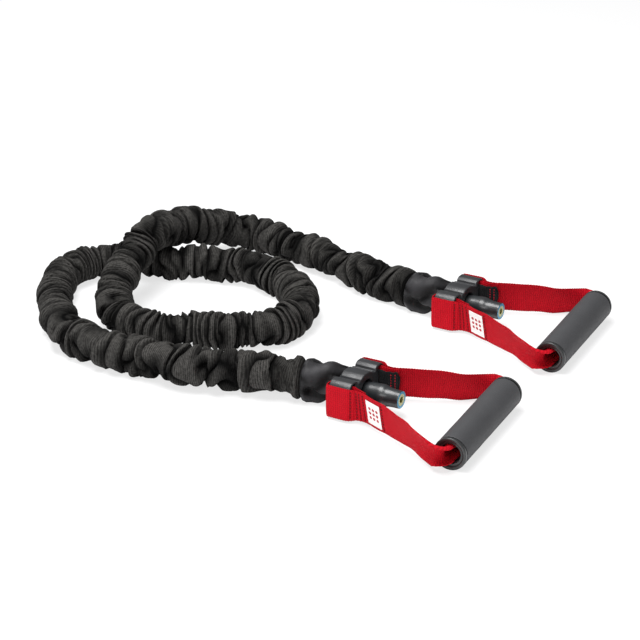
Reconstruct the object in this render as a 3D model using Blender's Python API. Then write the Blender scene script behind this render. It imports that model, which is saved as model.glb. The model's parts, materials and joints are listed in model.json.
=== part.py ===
"""Resistance tube with two hand grips: a rubber tube in a gathered fabric sleeve,
laid on the floor in one and a half turns, with a webbing handle on each end.

Metres, +Z up. The tube's two ends point along +X, the grips lie across them along Y,
and the part stands on z = 0. Right is the handle on the -Y side, left the one on +Y.
Each handle is drawn in its own frame: u runs forward from the connector block's front
face, v runs across it, and both start on the tube's axis.
"""

import math

import bmesh
import bpy
from mathutils import Vector
from mathutils.geometry import interpolate_bezier

# Layout
HANDLE_SPACING = 0.2225
HANDLE_STAGGER = 0.0113
FRONT_X = -0.0344
MIDDLE_Y = 0.0010
GRIP_REACH = 0.1122
GRIP_YAW = math.radians(5.5)
SWING_PIVOT = 0.010

# Fits
CLEARANCE = 0.0003
BORE_CLEARANCE = 0.0005
RUN_GAP = 0.0004
LAYER_GAP = 0.0005
STRAP_FIT = 0.0004
SLOT_PLAY = 0.0028

# Rubber tube and the plug in its end
TUBE_BORE_RADIUS = 0.0040
TUBE_WALL = 0.00425
TUBE_EXPOSED = 0.035
PLUG_TAIL = -0.002
PLUG_WIDEST = 0.016
PLUG_NOSE = 0.0215
PLUG_TAIL_RADIUS = 0.0046
PLUG_RADIUS = 0.0060
PLUG_NOSE_RADIUS = 0.0042
PLUG_LEAD = 0.004

# Gathered sleeve
SLEEVE_CREST = 0.0165
SLEEVE_VALLEY = 0.0148
SLEEVE_PUFF = 0.0004
PUFF_LENGTH = 0.130
COIL_RIB_PITCH = 0.0105
STRETCH_CREST = 0.0172
STRETCH_VALLEY = 0.0150
STRETCH_RIB_PITCH = 0.0165
ROUTE_STEP = 0.026
STRAIGHT_LEAD = 0.033

# Cuff and the two tails that it ends in
CUFF_LENGTH = 0.040
CUFF_FRONT_HALF_WIDTH = 0.0240
CUFF_FRONT_HALF_HEIGHT = 0.0130
CUFF_BELLY_HALF_HEIGHT = 0.0172
TAIL_WIDTH = 0.026
TAIL_THICKNESS = 0.0014
TAIL_END = 0.018

# Webbing strap
WEBBING_WIDTH = 0.031
WEBBING_THICKNESS = 0.0018
PINCH_U = 0.008
PINCH_V = 0.0285
SEAM_U = 0.0395
SEWN_SPREAD = math.radians(23)
SEWN_LEAN = math.radians(10)
LEG_LEAN = math.radians(16)
FOLDED_THICKNESS = 0.0039
TURN_RADIUS = 0.009
TURN_INSET = 0.0035
TURN_START = math.radians(120)
LABEL_START = 0.0194
LABEL_END = 0.0372
LABEL_HEIGHT = 0.0235
LABEL_DROP = 0.0028
LABEL_THICKNESS = 0.0005

# Connector block
BLOCK_DEPTH = 0.0215
BLOCK_WALL = 0.0021
CREST_TRIM = 0.0004
CREST_RADIUS = 0.0181
RECESS_RADIUS = 0.0115
RECESS_WALL = 0.0015
RECESS_DEPTH = 0.0060
SLOT_INNER_WALL = 0.008
SLOT_OUTER_WALL = 0.006
BLOCK_EDGE = 0.0008

# Grip
GRIP_LENGTH = 0.138
COLLAR_BORE_RADIUS = 0.009
SPIGOT_WALL = 0.0012
SPIGOT_LENGTH = 0.012
CORE_WALL = 0.0015
FOAM_WALL = 0.0027
FLANGE = 0.003
FLANGE_DISH = 0.0012
FLANGE_EDGE = 0.0008
GROOVE = 0.0008

# Worked out from the sizes above
TUBE_RADIUS = TUBE_BORE_RADIUS + TUBE_WALL
SLEEVE_BORE_RADIUS = TUBE_RADIUS + BORE_CLEARANCE
SLOT_WIDTH = WEBBING_THICKNESS + TAIL_THICKNESS + SLOT_PLAY
SLOT_HEIGHT = WEBBING_WIDTH + 2 * STRAP_FIT
BLOCK_HEIGHT = SLOT_HEIGHT + 2 * BLOCK_WALL
AXIS_Z = BLOCK_HEIGHT / 2
CENTRE_LOBE_HALF = RECESS_RADIUS + RECESS_WALL
SIDE_LOBE_RADIUS = (SLOT_INNER_WALL + SLOT_WIDTH + SLOT_OUTER_WALL) / 2
SIDE_LOBE_V = CENTRE_LOBE_HALF + SIDE_LOBE_RADIUS
BLOCK_HALF_WIDTH = CENTRE_LOBE_HALF + 2 * SIDE_LOBE_RADIUS
SLOT_V = BLOCK_HALF_WIDTH - SLOT_OUTER_WALL - SLOT_WIDTH / 2
CUFF_FRONT = -BLOCK_DEPTH - BORE_CLEARANCE
CUFF_REAR = CUFF_FRONT - CUFF_LENGTH
TAIL_START = CUFF_FRONT + CLEARANCE
FOLDED_WIDTH = 2 * math.sqrt((COLLAR_BORE_RADIUS - STRAP_FIT) ** 2
                             - (FOLDED_THICKNESS / 2) ** 2)
SPIGOT_RADIUS = COLLAR_BORE_RADIUS + SPIGOT_WALL
CORE_BORE_RADIUS = SPIGOT_RADIUS + CLEARANCE
CORE_RADIUS = CORE_BORE_RADIUS + CORE_WALL
FOAM_BORE_RADIUS = CORE_RADIUS + CLEARANCE
GRIP_RADIUS = FOAM_BORE_RADIUS + FOAM_WALL
LAYER_STEP = WEBBING_THICKNESS + LAYER_GAP
STRETCH_Z = STRETCH_CREST + SLEEVE_PUFF
COIL_Z = SLEEVE_CREST + SLEEVE_PUFF

# Side name, side of the pair, and how far the cuff has drifted across by its rear end
HANDLES = (
    ("right", -1, -0.006),
    ("left", 1, 0.004),
)

# Route of the free tube over the floor: x, y and, in the coil, rise above lying
COIL_START = (-0.240, -0.150)
COIL_START_WAY = (-1.0, 0.0)
COIL_END = (-0.269, 0.160)
COIL_END_WAY = (1.0, -0.22)
COIL_ROUTE = (
    (-0.310, -0.146, 0.0), (-0.344, -0.132, 0.0), (-0.370, -0.108, 0.0),
    (-0.394, -0.080, 0.0), (-0.415, -0.048, 0.0), (-0.427, -0.012, 0.0),
    (-0.418, 0.023, 0.0), (-0.389, 0.045, 0.0), (-0.353, 0.059, 0.0),
    (-0.320, 0.075, 0.0), (-0.284, 0.086, 0.0), (-0.247, 0.083, 0.0),
    (-0.214, 0.067, 0.0), (-0.187, 0.041, 0.0), (-0.172, 0.007, 0.0),
    (-0.178, -0.029, 0.0), (-0.205, -0.054, 0.0), (-0.238, -0.072, 0.0),
    (-0.272, -0.089, 0.0), (-0.309, -0.087, 0.001), (-0.336, -0.063, 0.008),
    (-0.350, -0.028, 0.020), (-0.356, 0.009, 0.031), (-0.359, 0.046, 0.0360),
    (-0.362, 0.084, 0.0280), (-0.354, 0.123, 0.018), (-0.333, 0.156, 0.0055),
)
RIGHT_ROUTE = ((-0.146, -0.133), (-0.171, -0.142), (-0.194, -0.148))
LEFT_ROUTE = ((-0.151, 0.125), (-0.175, 0.133), (-0.200, 0.142))


def clear_scene():
    """Remove every object that the file starts with."""
    for thing in list(bpy.data.objects):
        bpy.data.objects.remove(thing, do_unlink=True)


def make_material(name, colour, roughness, metallic=0.0):
    """A plain Principled material."""
    material = bpy.data.materials.new(name)
    material.use_nodes = True
    shader = material.node_tree.nodes["Principled BSDF"]
    shader.inputs["Base Color"].default_value = (*colour, 1.0)
    shader.inputs["Roughness"].default_value = roughness
    shader.inputs["Metallic"].default_value = metallic
    return material


def make_materials():
    """One material for each substance of the part."""
    return {
        "sleeve_fabric": make_material("sleeve_fabric", (0.022, 0.022, 0.024), 0.9),
        "cuff_satin": make_material("cuff_satin", (0.030, 0.030, 0.034), 0.55),
        "rubber": make_material("rubber", (0.045, 0.050, 0.055), 0.45),
        "plug_plastic": make_material("plug_plastic", (0.030, 0.030, 0.030), 0.5),
        "block_plastic": make_material("block_plastic", (0.055, 0.057, 0.062), 0.42),
        "red_webbing": make_material("red_webbing", (0.560, 0.020, 0.030), 0.8),
        "black_webbing": make_material("black_webbing", (0.020, 0.020, 0.020), 0.85),
        "label_cloth": make_material("label_cloth", (0.850, 0.850, 0.840), 0.7),
        "core_plastic": make_material("core_plastic", (0.040, 0.040, 0.042), 0.4),
        "grip_foam": make_material("grip_foam", (0.065, 0.065, 0.070), 0.85),
    }


def link(name, data, material, parent=None, offset=(0.0, 0.0, 0.0)):
    """Add an object that carries a material, in its parent's frame less an offset."""
    thing = bpy.data.objects.new(name, data)
    bpy.context.scene.collection.objects.link(thing)
    if material is not None:
        data.materials.append(material)
    thing.parent = parent
    thing.location = -Vector(offset)
    return thing


def add_frame(name, location, parent=None, yaw=0.0):
    """An empty that holds the pieces of one moving group."""
    frame = bpy.data.objects.new(name, None)
    bpy.context.scene.collection.objects.link(frame)
    frame.empty_display_size = 0.02
    frame.location = location
    frame.rotation_euler = (0.0, 0.0, yaw)
    frame.parent = parent
    return frame


def close_mesh(bm, name):
    """Weld a finished bmesh, face it outward and return it as mesh data."""
    bmesh.ops.remove_doubles(bm, verts=bm.verts, dist=1e-6)
    bmesh.ops.recalc_face_normals(bm, faces=bm.faces)
    mesh = bpy.data.meshes.new(name)
    bm.to_mesh(mesh)
    bm.free()
    return mesh


def smooth(thing, angle=35):
    """Shade a round piece smooth, with its real edges kept sharp."""
    thing.data.shade_smooth()
    thing.data.set_sharp_from_angle(angle=math.radians(angle))


def cut(target, cutter):
    """Subtract a cutter, which stays in the file as a hidden wire shape."""
    cutter.hide_render = True
    cutter.display_type = "WIRE"
    boolean = target.modifiers.new("cut_" + cutter.name, "BOOLEAN")
    boolean.operation = "DIFFERENCE"
    boolean.object = cutter


def smooth_step(t):
    """Ease from 0 to 1 with level ends."""
    t = min(max(t, 0.0), 1.0)
    return t * t * (3 - 2 * t)


def smooth_path(points, start_way, end_way, pieces=12):
    """A dense curve through hand-placed points that leaves and arrives as told."""
    last = len(points) - 1
    slopes = []
    for index, point in enumerate(points):
        if index == 0:
            slopes.append(start_way.normalized() * (points[1] - point).length)
        elif index == last:
            slopes.append(end_way.normalized() * (point - points[last - 1]).length)
        else:
            slopes.append((points[index + 1] - points[index - 1]) / 2)
    dense = [points[0]]
    for index in range(last):
        first_handle = points[index] + slopes[index] / 3
        second_handle = points[index + 1] - slopes[index + 1] / 3
        run = interpolate_bezier(points[index], first_handle, second_handle,
                                 points[index + 1], pieces + 1)
        dense.extend(run[1:])
    return dense


def path_length(points):
    """Length along a dense curve."""
    return sum((b - a).length for a, b in zip(points, points[1:]))


def points_along(points, distances):
    """Read a dense curve at rising distances from its start."""
    found = []
    index = 0
    walked = 0.0
    for distance in distances:
        step = (points[index + 1] - points[index]).length
        while walked + step < distance and index < len(points) - 2:
            walked += step
            index += 1
            step = (points[index + 1] - points[index]).length
        found.append(points[index].lerp(points[index + 1], (distance - walked) / step))
    return found


def even_distances(start, end, step):
    """Evenly spaced distances from start to end, no further apart than step."""
    count = max(1, math.ceil((end - start) / step))
    return [start + (end - start) * k / count for k in range(count + 1)]


def tube_curve(name, points, radii, resolution):
    """A capped tube along points, as curve data, with its own radius at each point."""
    curve = bpy.data.curves.new(name, "CURVE")
    curve.dimensions = "3D"
    curve.bevel_depth = 1.0
    curve.bevel_resolution = resolution
    curve.use_fill_caps = True
    spline = curve.splines.new("POLY")
    spline.points.add(len(points) - 1)
    for knot, place, radius in zip(spline.points, points, radii):
        knot.co = (*place, 1.0)
        knot.radius = radius
    return curve


def tube_mesh(name, points, radii, resolution):
    """The same tube as mesh data, for pieces that are cut."""
    curve = tube_curve(name + "_path", points, radii, resolution)
    guide = link(name + "_path", curve, None)
    bpy.context.view_layer.update()
    evaluated = guide.evaluated_get(bpy.context.evaluated_depsgraph_get())
    mesh = bpy.data.meshes.new_from_object(evaluated)
    bpy.data.objects.remove(guide, do_unlink=True)
    bm = bmesh.new()
    bm.from_mesh(mesh)
    bpy.data.meshes.remove(mesh)
    return close_mesh(bm, name)


def overshoot(points, amount):
    """The same run of points with both ends carried straight on, for a cutter."""
    first_way = (points[0] - points[1]).normalized()
    last_way = (points[-1] - points[-2]).normalized()
    start = points[0] + first_way * amount
    end = points[-1] + last_way * amount
    return [start] + points[1:-1] + [end]


def turned_mesh(name, profile, sides, closed=True):
    """Turn an outline of (radius, height) points about Z."""
    bm = bmesh.new()
    verts = [bm.verts.new((radius, 0.0, height)) for radius, height in profile]
    edges = [bm.edges.new(pair) for pair in zip(verts, verts[1:])]
    if closed:
        edges.append(bm.edges.new((verts[-1], verts[0])))
    bmesh.ops.spin(bm, geom=verts + edges, cent=(0, 0, 0), axis=(0, 0, 1),
                   angle=math.tau, steps=sides, use_merge=True)
    return close_mesh(bm, name)


def loft_mesh(name, rings):
    """Skin a row of rings that have the same number of points, and cap both ends."""
    bm = bmesh.new()
    rows = [[bm.verts.new(point) for point in ring] for ring in rings]
    count = len(rows[0])
    for here, there in zip(rows, rows[1:]):
        for k in range(count):
            after = (k + 1) % count
            bm.faces.new((here[k], here[after], there[after], there[k]))
    bm.faces.new(rows[0])
    bm.faces.new(list(reversed(rows[-1])))
    return close_mesh(bm, name)


def ribbon_mesh(name, stations):
    """A flat band on edge: each station is (place, width, thickness, lean)."""
    rings = []
    last = len(stations) - 1
    for index, (place, width, thickness, lean) in enumerate(stations):
        before = stations[max(index - 1, 0)][0]
        after = stations[min(index + 1, last)][0]
        along = (after - before).normalized()
        outward = along.cross(Vector((0, 0, 1))).normalized()
        up = outward.cross(along).normalized()
        tall = up * math.cos(lean) + outward * math.sin(lean)
        flat = outward * math.cos(lean) - up * math.sin(lean)
        half_tall = tall * width / 2
        half_flat = flat * thickness / 2
        rings.append((place - half_tall - half_flat, place - half_tall + half_flat,
                      place + half_tall + half_flat, place + half_tall - half_flat))
    return loft_mesh(name, rings)


def block_outline():
    """Outline across the block: three barrel lobes, alike above and below."""
    crest = BLOCK_HEIGHT / 2 + CREST_TRIM
    side_centre = crest - SIDE_LOBE_RADIUS
    crown_centre = crest - CREST_RADIUS
    top = []
    for degrees in range(0, 156, 12):
        angle = math.radians(degrees)
        v = SIDE_LOBE_V + SIDE_LOBE_RADIUS * math.cos(angle)
        w = side_centre + SIDE_LOBE_RADIUS * math.sin(angle)
        crown = CREST_RADIUS ** 2 - v ** 2
        if crown > 0 and crown_centre + math.sqrt(crown) > w:
            break
        top.append((v, min(w, BLOCK_HEIGHT / 2)))
    valley_angle = math.asin((CENTRE_LOBE_HALF + BLOCK_EDGE) / CREST_RADIUS)
    for step in range(6):
        angle = valley_angle * (1 - step / 5)
        w = crown_centre + CREST_RADIUS * math.cos(angle)
        top.append((CREST_RADIUS * math.sin(angle), min(w, BLOCK_HEIGHT / 2)))
    right_top = top + [(-v, w) for v, w in reversed(top[:-1])]
    return right_top + [(v, -w) for v, w in reversed(right_top)]


def block_mesh(name):
    """The lobed outline drawn through the block's depth, with eased end edges."""
    bm = bmesh.new()
    outline = [bm.verts.new((-BLOCK_DEPTH, v, w)) for v, w in block_outline()]
    face = bm.faces.new(outline)
    moved = bmesh.ops.extrude_face_region(bm, geom=[face])["geom"]
    shifted = [item for item in moved if isinstance(item, bmesh.types.BMVert)]
    bmesh.ops.translate(bm, verts=shifted, vec=(BLOCK_DEPTH, 0, 0))
    rims = [edge for edge in bm.edges
            if abs(edge.verts[0].co.x - edge.verts[1].co.x) < BLOCK_EDGE / 10]
    bmesh.ops.bevel(bm, geom=rims, offset=BLOCK_EDGE, segments=1, affect="EDGES",
                    clamp_overlap=True)
    return close_mesh(bm, name)


def slot_mesh(name):
    """Cutter for a webbing slot, flared where it breaks out of the block's faces."""
    rings = []
    for u, flare in ((-BLOCK_DEPTH - BLOCK_EDGE, BLOCK_EDGE), (-BLOCK_DEPTH + BLOCK_EDGE, 0.0),
                     (-BLOCK_EDGE, 0.0), (BLOCK_EDGE, BLOCK_EDGE)):
        half_v = SLOT_WIDTH / 2 + flare
        half_w = SLOT_HEIGHT / 2 + flare
        rings.append(((u, half_v, half_w), (u, -half_v, half_w),
                      (u, -half_v, -half_w), (u, half_v, -half_w)))
    return loft_mesh(name, rings)


def bore_mesh(name):
    """Cutter for the tube's bore and the recess in front of it, about Z for X."""
    bore = TUBE_RADIUS + BORE_CLEARANCE
    ease = RECESS_RADIUS - bore
    profile = ((0.0, -BLOCK_DEPTH - BLOCK_EDGE), (bore + BLOCK_EDGE, -BLOCK_DEPTH - BLOCK_EDGE),
               (bore, -BLOCK_DEPTH + BLOCK_EDGE), (bore, -RECESS_DEPTH - ease),
               (RECESS_RADIUS, -RECESS_DEPTH), (RECESS_RADIUS, BLOCK_EDGE), (0.0, BLOCK_EDGE))
    return turned_mesh(name, profile, 24, closed=False)


def make_block(side, frame, materials):
    """Connector block: centre bore for the tube and a webbing slot in each side lobe."""
    name = side + "_block"
    block = link(name, block_mesh(name), materials["block_plastic"], frame)
    for number, place in ((1, -SLOT_V), (2, SLOT_V)):
        cutter_name = f"{side}_slot_cutter_{number}"
        cut(block, link(cutter_name, slot_mesh(cutter_name), None, frame, (0, -place, 0)))
    cutter_name = side + "_bore_cutter"
    bore = link(cutter_name, bore_mesh(cutter_name), None, frame)
    bore.rotation_euler = (0.0, math.pi / 2, 0.0)
    cut(block, bore)
    smooth(block)


def axis_point(u, drift):
    """Middle of the tube at u; behind the block it drifts across with the cuff."""
    past = max(0.0, CUFF_FRONT - u) / CUFF_LENGTH
    return Vector((u, drift * past * past, 0.0))


def axis_way(u, drift):
    """Way that the tube takes toward the sleeve where it reaches u."""
    return (axis_point(u, drift) - axis_point(u + CUFF_LENGTH / 5, drift)).normalized()


def tube_end_places(drift):
    """Stations of the tube's end piece, from the cuff's rear to the cut end."""
    behind = [CUFF_REAR + CUFF_LENGTH * k / 5 for k in range(6)]
    ahead = [PLUG_TAIL - PLUG_LEAD, PLUG_TAIL, PLUG_WIDEST, PLUG_NOSE,
             PLUG_NOSE + PLUG_LEAD, TUBE_EXPOSED]
    return [axis_point(u, drift) for u in behind + ahead]


def bore_radius_at(u):
    """Inner radius of the tube, opened up where the plug sits."""
    sizes = ((PLUG_TAIL - PLUG_LEAD, TUBE_BORE_RADIUS),
             (PLUG_TAIL, PLUG_TAIL_RADIUS + CLEARANCE),
             (PLUG_WIDEST, PLUG_RADIUS + CLEARANCE),
             (PLUG_NOSE, PLUG_NOSE_RADIUS + 2 * CLEARANCE),
             (PLUG_NOSE + PLUG_LEAD, TUBE_BORE_RADIUS))
    for (start, first), (end, second) in zip(sizes, sizes[1:]):
        if start <= u <= end:
            return first + (second - first) * (u - start) / (end - start)
    return TUBE_BORE_RADIUS


def make_tube_end(side, drift, frame, materials):
    """End of the rubber tube, swollen over its plug, from the cuff to the cut end."""
    name = side + "_tube_end"
    places = tube_end_places(drift)
    bores = [bore_radius_at(place.x) for place in places]
    outers = [bore + TUBE_WALL for bore in bores]
    tube = link(name, tube_mesh(name, places, outers, 6), materials["rubber"], frame)
    cutter_name = side + "_tube_bore_cutter"
    mesh = tube_mesh(cutter_name, overshoot(places, TUBE_WALL), bores, 6)
    cut(tube, link(cutter_name, mesh, None, frame))
    smooth(tube)


def make_plug(side, frame, materials):
    """Tapered plug that swells the tube's end so that it can't pull through the block."""
    name = side + "_tube_plug"
    ease = PLUG_TAIL_RADIUS / 4
    profile = ((0.0, PLUG_NOSE), (PLUG_NOSE_RADIUS - ease, PLUG_NOSE),
               (PLUG_NOSE_RADIUS, PLUG_NOSE - ease), (PLUG_RADIUS, PLUG_WIDEST),
               (PLUG_TAIL_RADIUS, PLUG_TAIL + ease),
               (PLUG_TAIL_RADIUS - ease, PLUG_TAIL), (0.0, PLUG_TAIL))
    mesh = turned_mesh(name, profile, 16, closed=False)
    plug = link(name, mesh, materials["plug_plastic"], frame)
    plug.rotation_euler = (0.0, math.pi / 2, 0.0)
    smooth(plug)


def cuff_ring(t, drift):
    """One ring of the cuff, t from 0 at the block to 1 at the sleeve."""
    centre = axis_point(CUFF_FRONT - CUFF_LENGTH * t, drift)
    across = Vector((0, 0, 1)).cross(axis_way(centre.x, drift))
    width = CUFF_FRONT_HALF_WIDTH + (SLEEVE_CREST - CUFF_FRONT_HALF_WIDTH) * smooth_step(t)
    swell = CUFF_BELLY_HALF_HEIGHT - SLEEVE_CREST
    height = CUFF_FRONT_HALF_HEIGHT + (SLEEVE_CREST - CUFF_FRONT_HALF_HEIGHT) * smooth_step(2 * t)
    height += swell * math.sin(math.pi * t)
    power = 0.6 + 0.4 * smooth_step(t)
    ring = []
    for k in range(20):
        angle = math.tau * k / 20
        reach = math.copysign(abs(math.cos(angle)) ** power, math.cos(angle))
        rise = math.copysign(abs(math.sin(angle)) ** power, math.sin(angle))
        ring.append(centre + across * width * reach + Vector((0, 0, height * rise)))
    return ring


def make_cuff(side, drift, frame, materials):
    """Plain fabric cuff that joins the gathered sleeve to the block."""
    name = side + "_cuff"
    steps = 6
    rings = [cuff_ring(k / steps, drift) for k in range(steps + 1)]
    cuff = link(name, loft_mesh(name, rings), materials["cuff_satin"], frame)
    places = [axis_point(CUFF_REAR + CUFF_LENGTH * k / 5, drift) for k in range(6)]
    cutter_name = side + "_cuff_bore_cutter"
    radii = [SLEEVE_BORE_RADIUS] * len(places)
    mesh = tube_mesh(cutter_name, overshoot(places, TUBE_WALL), radii, 6)
    cut(cuff, link(cutter_name, mesh, None, frame))
    smooth(cuff, 50)


def layer_v(u, depth):
    """Distance from the axis of a sewn layer at some depth inside the outer webbing."""
    slant = math.cos(SEWN_SPREAD) * math.cos(SEWN_LEAN)
    return PINCH_V + (u - PINCH_U) * math.tan(SEWN_SPREAD) - depth / slant


def strap_loop(sign):
    """The sewn end: inner layer, slot, round the lobe's outer wall, outer layer."""
    reach = STRAP_FIT + WEBBING_THICKNESS / 2
    wall_v = BLOCK_HALF_WIDTH - SLOT_OUTER_WALL
    pinch_v = layer_v(PINCH_U, LAYER_STEP)
    inner = [(SEAM_U, layer_v(SEAM_U, LAYER_STEP)), (PINCH_U, pinch_v),
             ((PINCH_U + reach) / 2, (pinch_v + wall_v - reach) / 2),
             (reach, wall_v - reach), (-BLOCK_DEPTH / 2, wall_v - reach)]
    wrap = []
    for step in range(4):
        angle = math.radians(30 * step)
        wrap.append((-BLOCK_DEPTH - reach * math.sin(angle), wall_v - reach * math.cos(angle)))
    big = reach + BLOCK_EDGE
    for step in range(4):
        angle = math.radians(30 * step)
        wrap.append((BLOCK_EDGE - BLOCK_DEPTH - big * math.cos(angle),
                     BLOCK_HALF_WIDTH - BLOCK_EDGE + big * math.sin(angle)))
    outer = [(-BLOCK_DEPTH / 2, BLOCK_HALF_WIDTH + reach), (0.0, BLOCK_HALF_WIDTH + reach),
             (PINCH_U, layer_v(PINCH_U, 0.0)), (SEAM_U, layer_v(SEAM_U, 0.0))]
    leans = [-SEWN_LEAN] * 2 + [-SEWN_LEAN / 2] + [0.0] * 12 + [SEWN_LEAN] * 2
    flat = inner + wrap + outer
    return [(Vector((u, sign * v, 0.0)), lean) for (u, v), lean in zip(flat, leans)]


def grip_place(x, y):
    """A point given in the grip's own frame, in the handle's frame, at grip height."""
    turned = Vector((x * math.cos(GRIP_YAW) - y * math.sin(GRIP_YAW),
                     x * math.sin(GRIP_YAW) + y * math.cos(GRIP_YAW), 0.0))
    return turned + Vector((GRIP_REACH, 0.0, GRIP_RADIUS - AXIS_Z))


def strap_turn(sign):
    """The bend from the leg into the grip's bore, as far as the bore's mouth."""
    middle_y = GRIP_LENGTH / 2 - TURN_INSET
    turn = []
    for step in range(6):
        angle = TURN_START * (1 - step / 5)
        x = TURN_RADIUS * (math.cos(angle) - 1)
        y = middle_y + TURN_RADIUS * math.sin(angle)
        turn.append(grip_place(x, sign * y))
    return turn


def gathered(t):
    """Width and thickness of the webbing, t from 0 at the seam, as it folds to the bore."""
    gather = smooth_step((t - 0.65) / 0.9)
    width = WEBBING_WIDTH + (FOLDED_WIDTH - WEBBING_WIDTH) * gather
    return width, WEBBING_THICKNESS + (FOLDED_THICKNESS - WEBBING_THICKNESS) * gather


def strap_stations(sign):
    """Half of the strap, from its sewn end to the middle of the grip."""
    loop = strap_loop(sign)
    turn = strap_turn(sign)
    stations = [(place, WEBBING_WIDTH, WEBBING_THICKNESS, lean) for place, lean in loop]
    start_way = loop[-1][0] - loop[-2][0]
    leg = smooth_path([loop[-1][0], turn[0]], start_way, turn[1] - turn[0], 8)
    for index, place in enumerate(leg[1:], 1):
        t = index / 8
        lean = SEWN_LEAN + (LEG_LEAN - SEWN_LEAN) * smooth_step(2 * t)
        stations.append((place, *gathered(t), lean))
    for index, place in enumerate(turn[1:], 1):
        lean = LEG_LEAN * (1 - smooth_step(index / 4))
        stations.append((place, *gathered(1 + index / 8), lean))
    return stations


def make_strap(side, frame, materials):
    """One webbing strap: sewn round a side lobe, through the grip, round the other."""
    name = side + "_strap"
    first = strap_stations(-1)
    second = [(place, width, thick, -lean)
              for place, width, thick, lean in reversed(strap_stations(1))]
    mesh = ribbon_mesh(name, first + second)
    link(name, mesh, materials["red_webbing"], frame, (SWING_PIVOT, 0.0, 0.0))


def make_tail(side, number, sign, frame, materials):
    """Black tail of the cuff: through the slot and sewn to the strap's inner layer."""
    name = f"{side}_tail_{number}"
    slot_v = SLOT_V - SLOT_WIDTH / 2 + SLOT_PLAY / 4 + TAIL_THICKNESS / 2
    depth = LAYER_STEP + (WEBBING_THICKNESS + TAIL_THICKNESS) / 2 + 2 * LAYER_GAP
    sewn = [(u, layer_v(u, depth)) for u in (PINCH_U, TAIL_END)]
    middle = ((PINCH_U + TAIL_THICKNESS) / 2, (slot_v + sewn[0][1]) / 2)
    flat = [(TAIL_START, slot_v), (TAIL_THICKNESS, slot_v), middle] + sewn
    leans = [0.0] * 2 + [SEWN_LEAN / 2] + [SEWN_LEAN] * 2
    stations = [(Vector((u, sign * v, 0.0)), TAIL_WIDTH, TAIL_THICKNESS, lean)
                for (u, v), lean in zip(flat, leans)]
    link(name, ribbon_mesh(name, stations), materials["black_webbing"], frame)


def make_label(side, frame, materials):
    """Sewn label on the outer face of the leg on the -Y side."""
    name = side + "_label"
    out = -(WEBBING_THICKNESS / 2 + CLEARANCE + LABEL_THICKNESS / 2)
    inset = LABEL_DROP * math.tan(SEWN_LEAN)
    stations = [(Vector((u, inset - layer_v(u, out), -LABEL_DROP)), LABEL_HEIGHT,
                 LABEL_THICKNESS, SEWN_LEAN) for u in (LABEL_START, LABEL_END)]
    link(name, ribbon_mesh(name, stations), materials["label_cloth"], frame)


def collar_profile():
    """Outline of an end collar: a dished flange and a spigot inside the core."""
    end = GRIP_LENGTH / 2
    back = end - FLANGE
    tip = back - SPIGOT_LENGTH
    return ((COLLAR_BORE_RADIUS, tip), (COLLAR_BORE_RADIUS, end - FLANGE_DISH - FLANGE_EDGE),
            (COLLAR_BORE_RADIUS + FLANGE_EDGE, end - FLANGE_DISH),
            (GRIP_RADIUS - 2 * FLANGE_EDGE, end), (GRIP_RADIUS - FLANGE_EDGE, end),
            (GRIP_RADIUS, end - FLANGE_EDGE), (GRIP_RADIUS, back),
            (SPIGOT_RADIUS, back), (SPIGOT_RADIUS, tip))


def ring_profile(inner, outer, half_length, edge):
    """Outline of a plain sleeve about its middle, with eased outer edges."""
    return ((inner, -half_length), (inner, half_length), (outer - edge, half_length),
            (outer, half_length - edge), (outer, edge - half_length),
            (outer - edge, -half_length))


def make_grip(side, frame, materials):
    """Foam grip on a hollow core, with a collar pushed into each end of the core."""
    core_half = GRIP_LENGTH / 2 - FLANGE - CLEARANCE
    foam_half = GRIP_LENGTH / 2 - FLANGE - GROOVE
    core = turned_mesh(side + "_grip_core",
                       ring_profile(CORE_BORE_RADIUS, CORE_RADIUS, core_half, CORE_WALL / 4), 24)
    foam = turned_mesh(side + "_grip_foam",
                       ring_profile(FOAM_BORE_RADIUS, GRIP_RADIUS, foam_half, FOAM_WALL / 4), 32)
    pieces = [link(side + "_grip_core", core, materials["core_plastic"], frame),
              link(side + "_grip_foam", foam, materials["grip_foam"], frame)]
    for number, turn in ((1, math.pi / 2), (2, -math.pi / 2)):
        name = f"{side}_end_collar_{number}"
        mesh = turned_mesh(name, collar_profile(), 32)
        collar = link(name, mesh, materials["core_plastic"], frame)
        collar.rotation_euler = (turn, 0.0, 0.0)
        smooth(collar)
    for piece in pieces:
        piece.rotation_euler = (-math.pi / 2, 0.0, 0.0)
        smooth(piece)


def handle_origin(sign):
    """Centre of a block's front face on the tube's axis."""
    return Vector((FRONT_X - sign * HANDLE_STAGGER / 2,
                   MIDDLE_Y + sign * HANDLE_SPACING / 2, AXIS_Z))


def make_handle(side, sign, drift, materials):
    """Everything on one end of the tube."""
    end = add_frame(side + "_end_frame", handle_origin(sign))
    swing = add_frame(side + "_swing_frame", (SWING_PIVOT, 0.0, 0.0), end)
    grip = add_frame(side + "_grip_frame",
                     (GRIP_REACH - SWING_PIVOT, 0.0, GRIP_RADIUS - AXIS_Z), swing, GRIP_YAW)
    make_tube_end(side, drift, end, materials)
    make_plug(side, end, materials)
    make_cuff(side, drift, end, materials)
    make_block(side, end, materials)
    make_tail(side, 1, -1, end, materials)
    make_tail(side, 2, 1, end, materials)
    make_label(side, end, materials)
    make_strap(side, swing, materials)
    make_grip(side, grip, materials)


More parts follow.
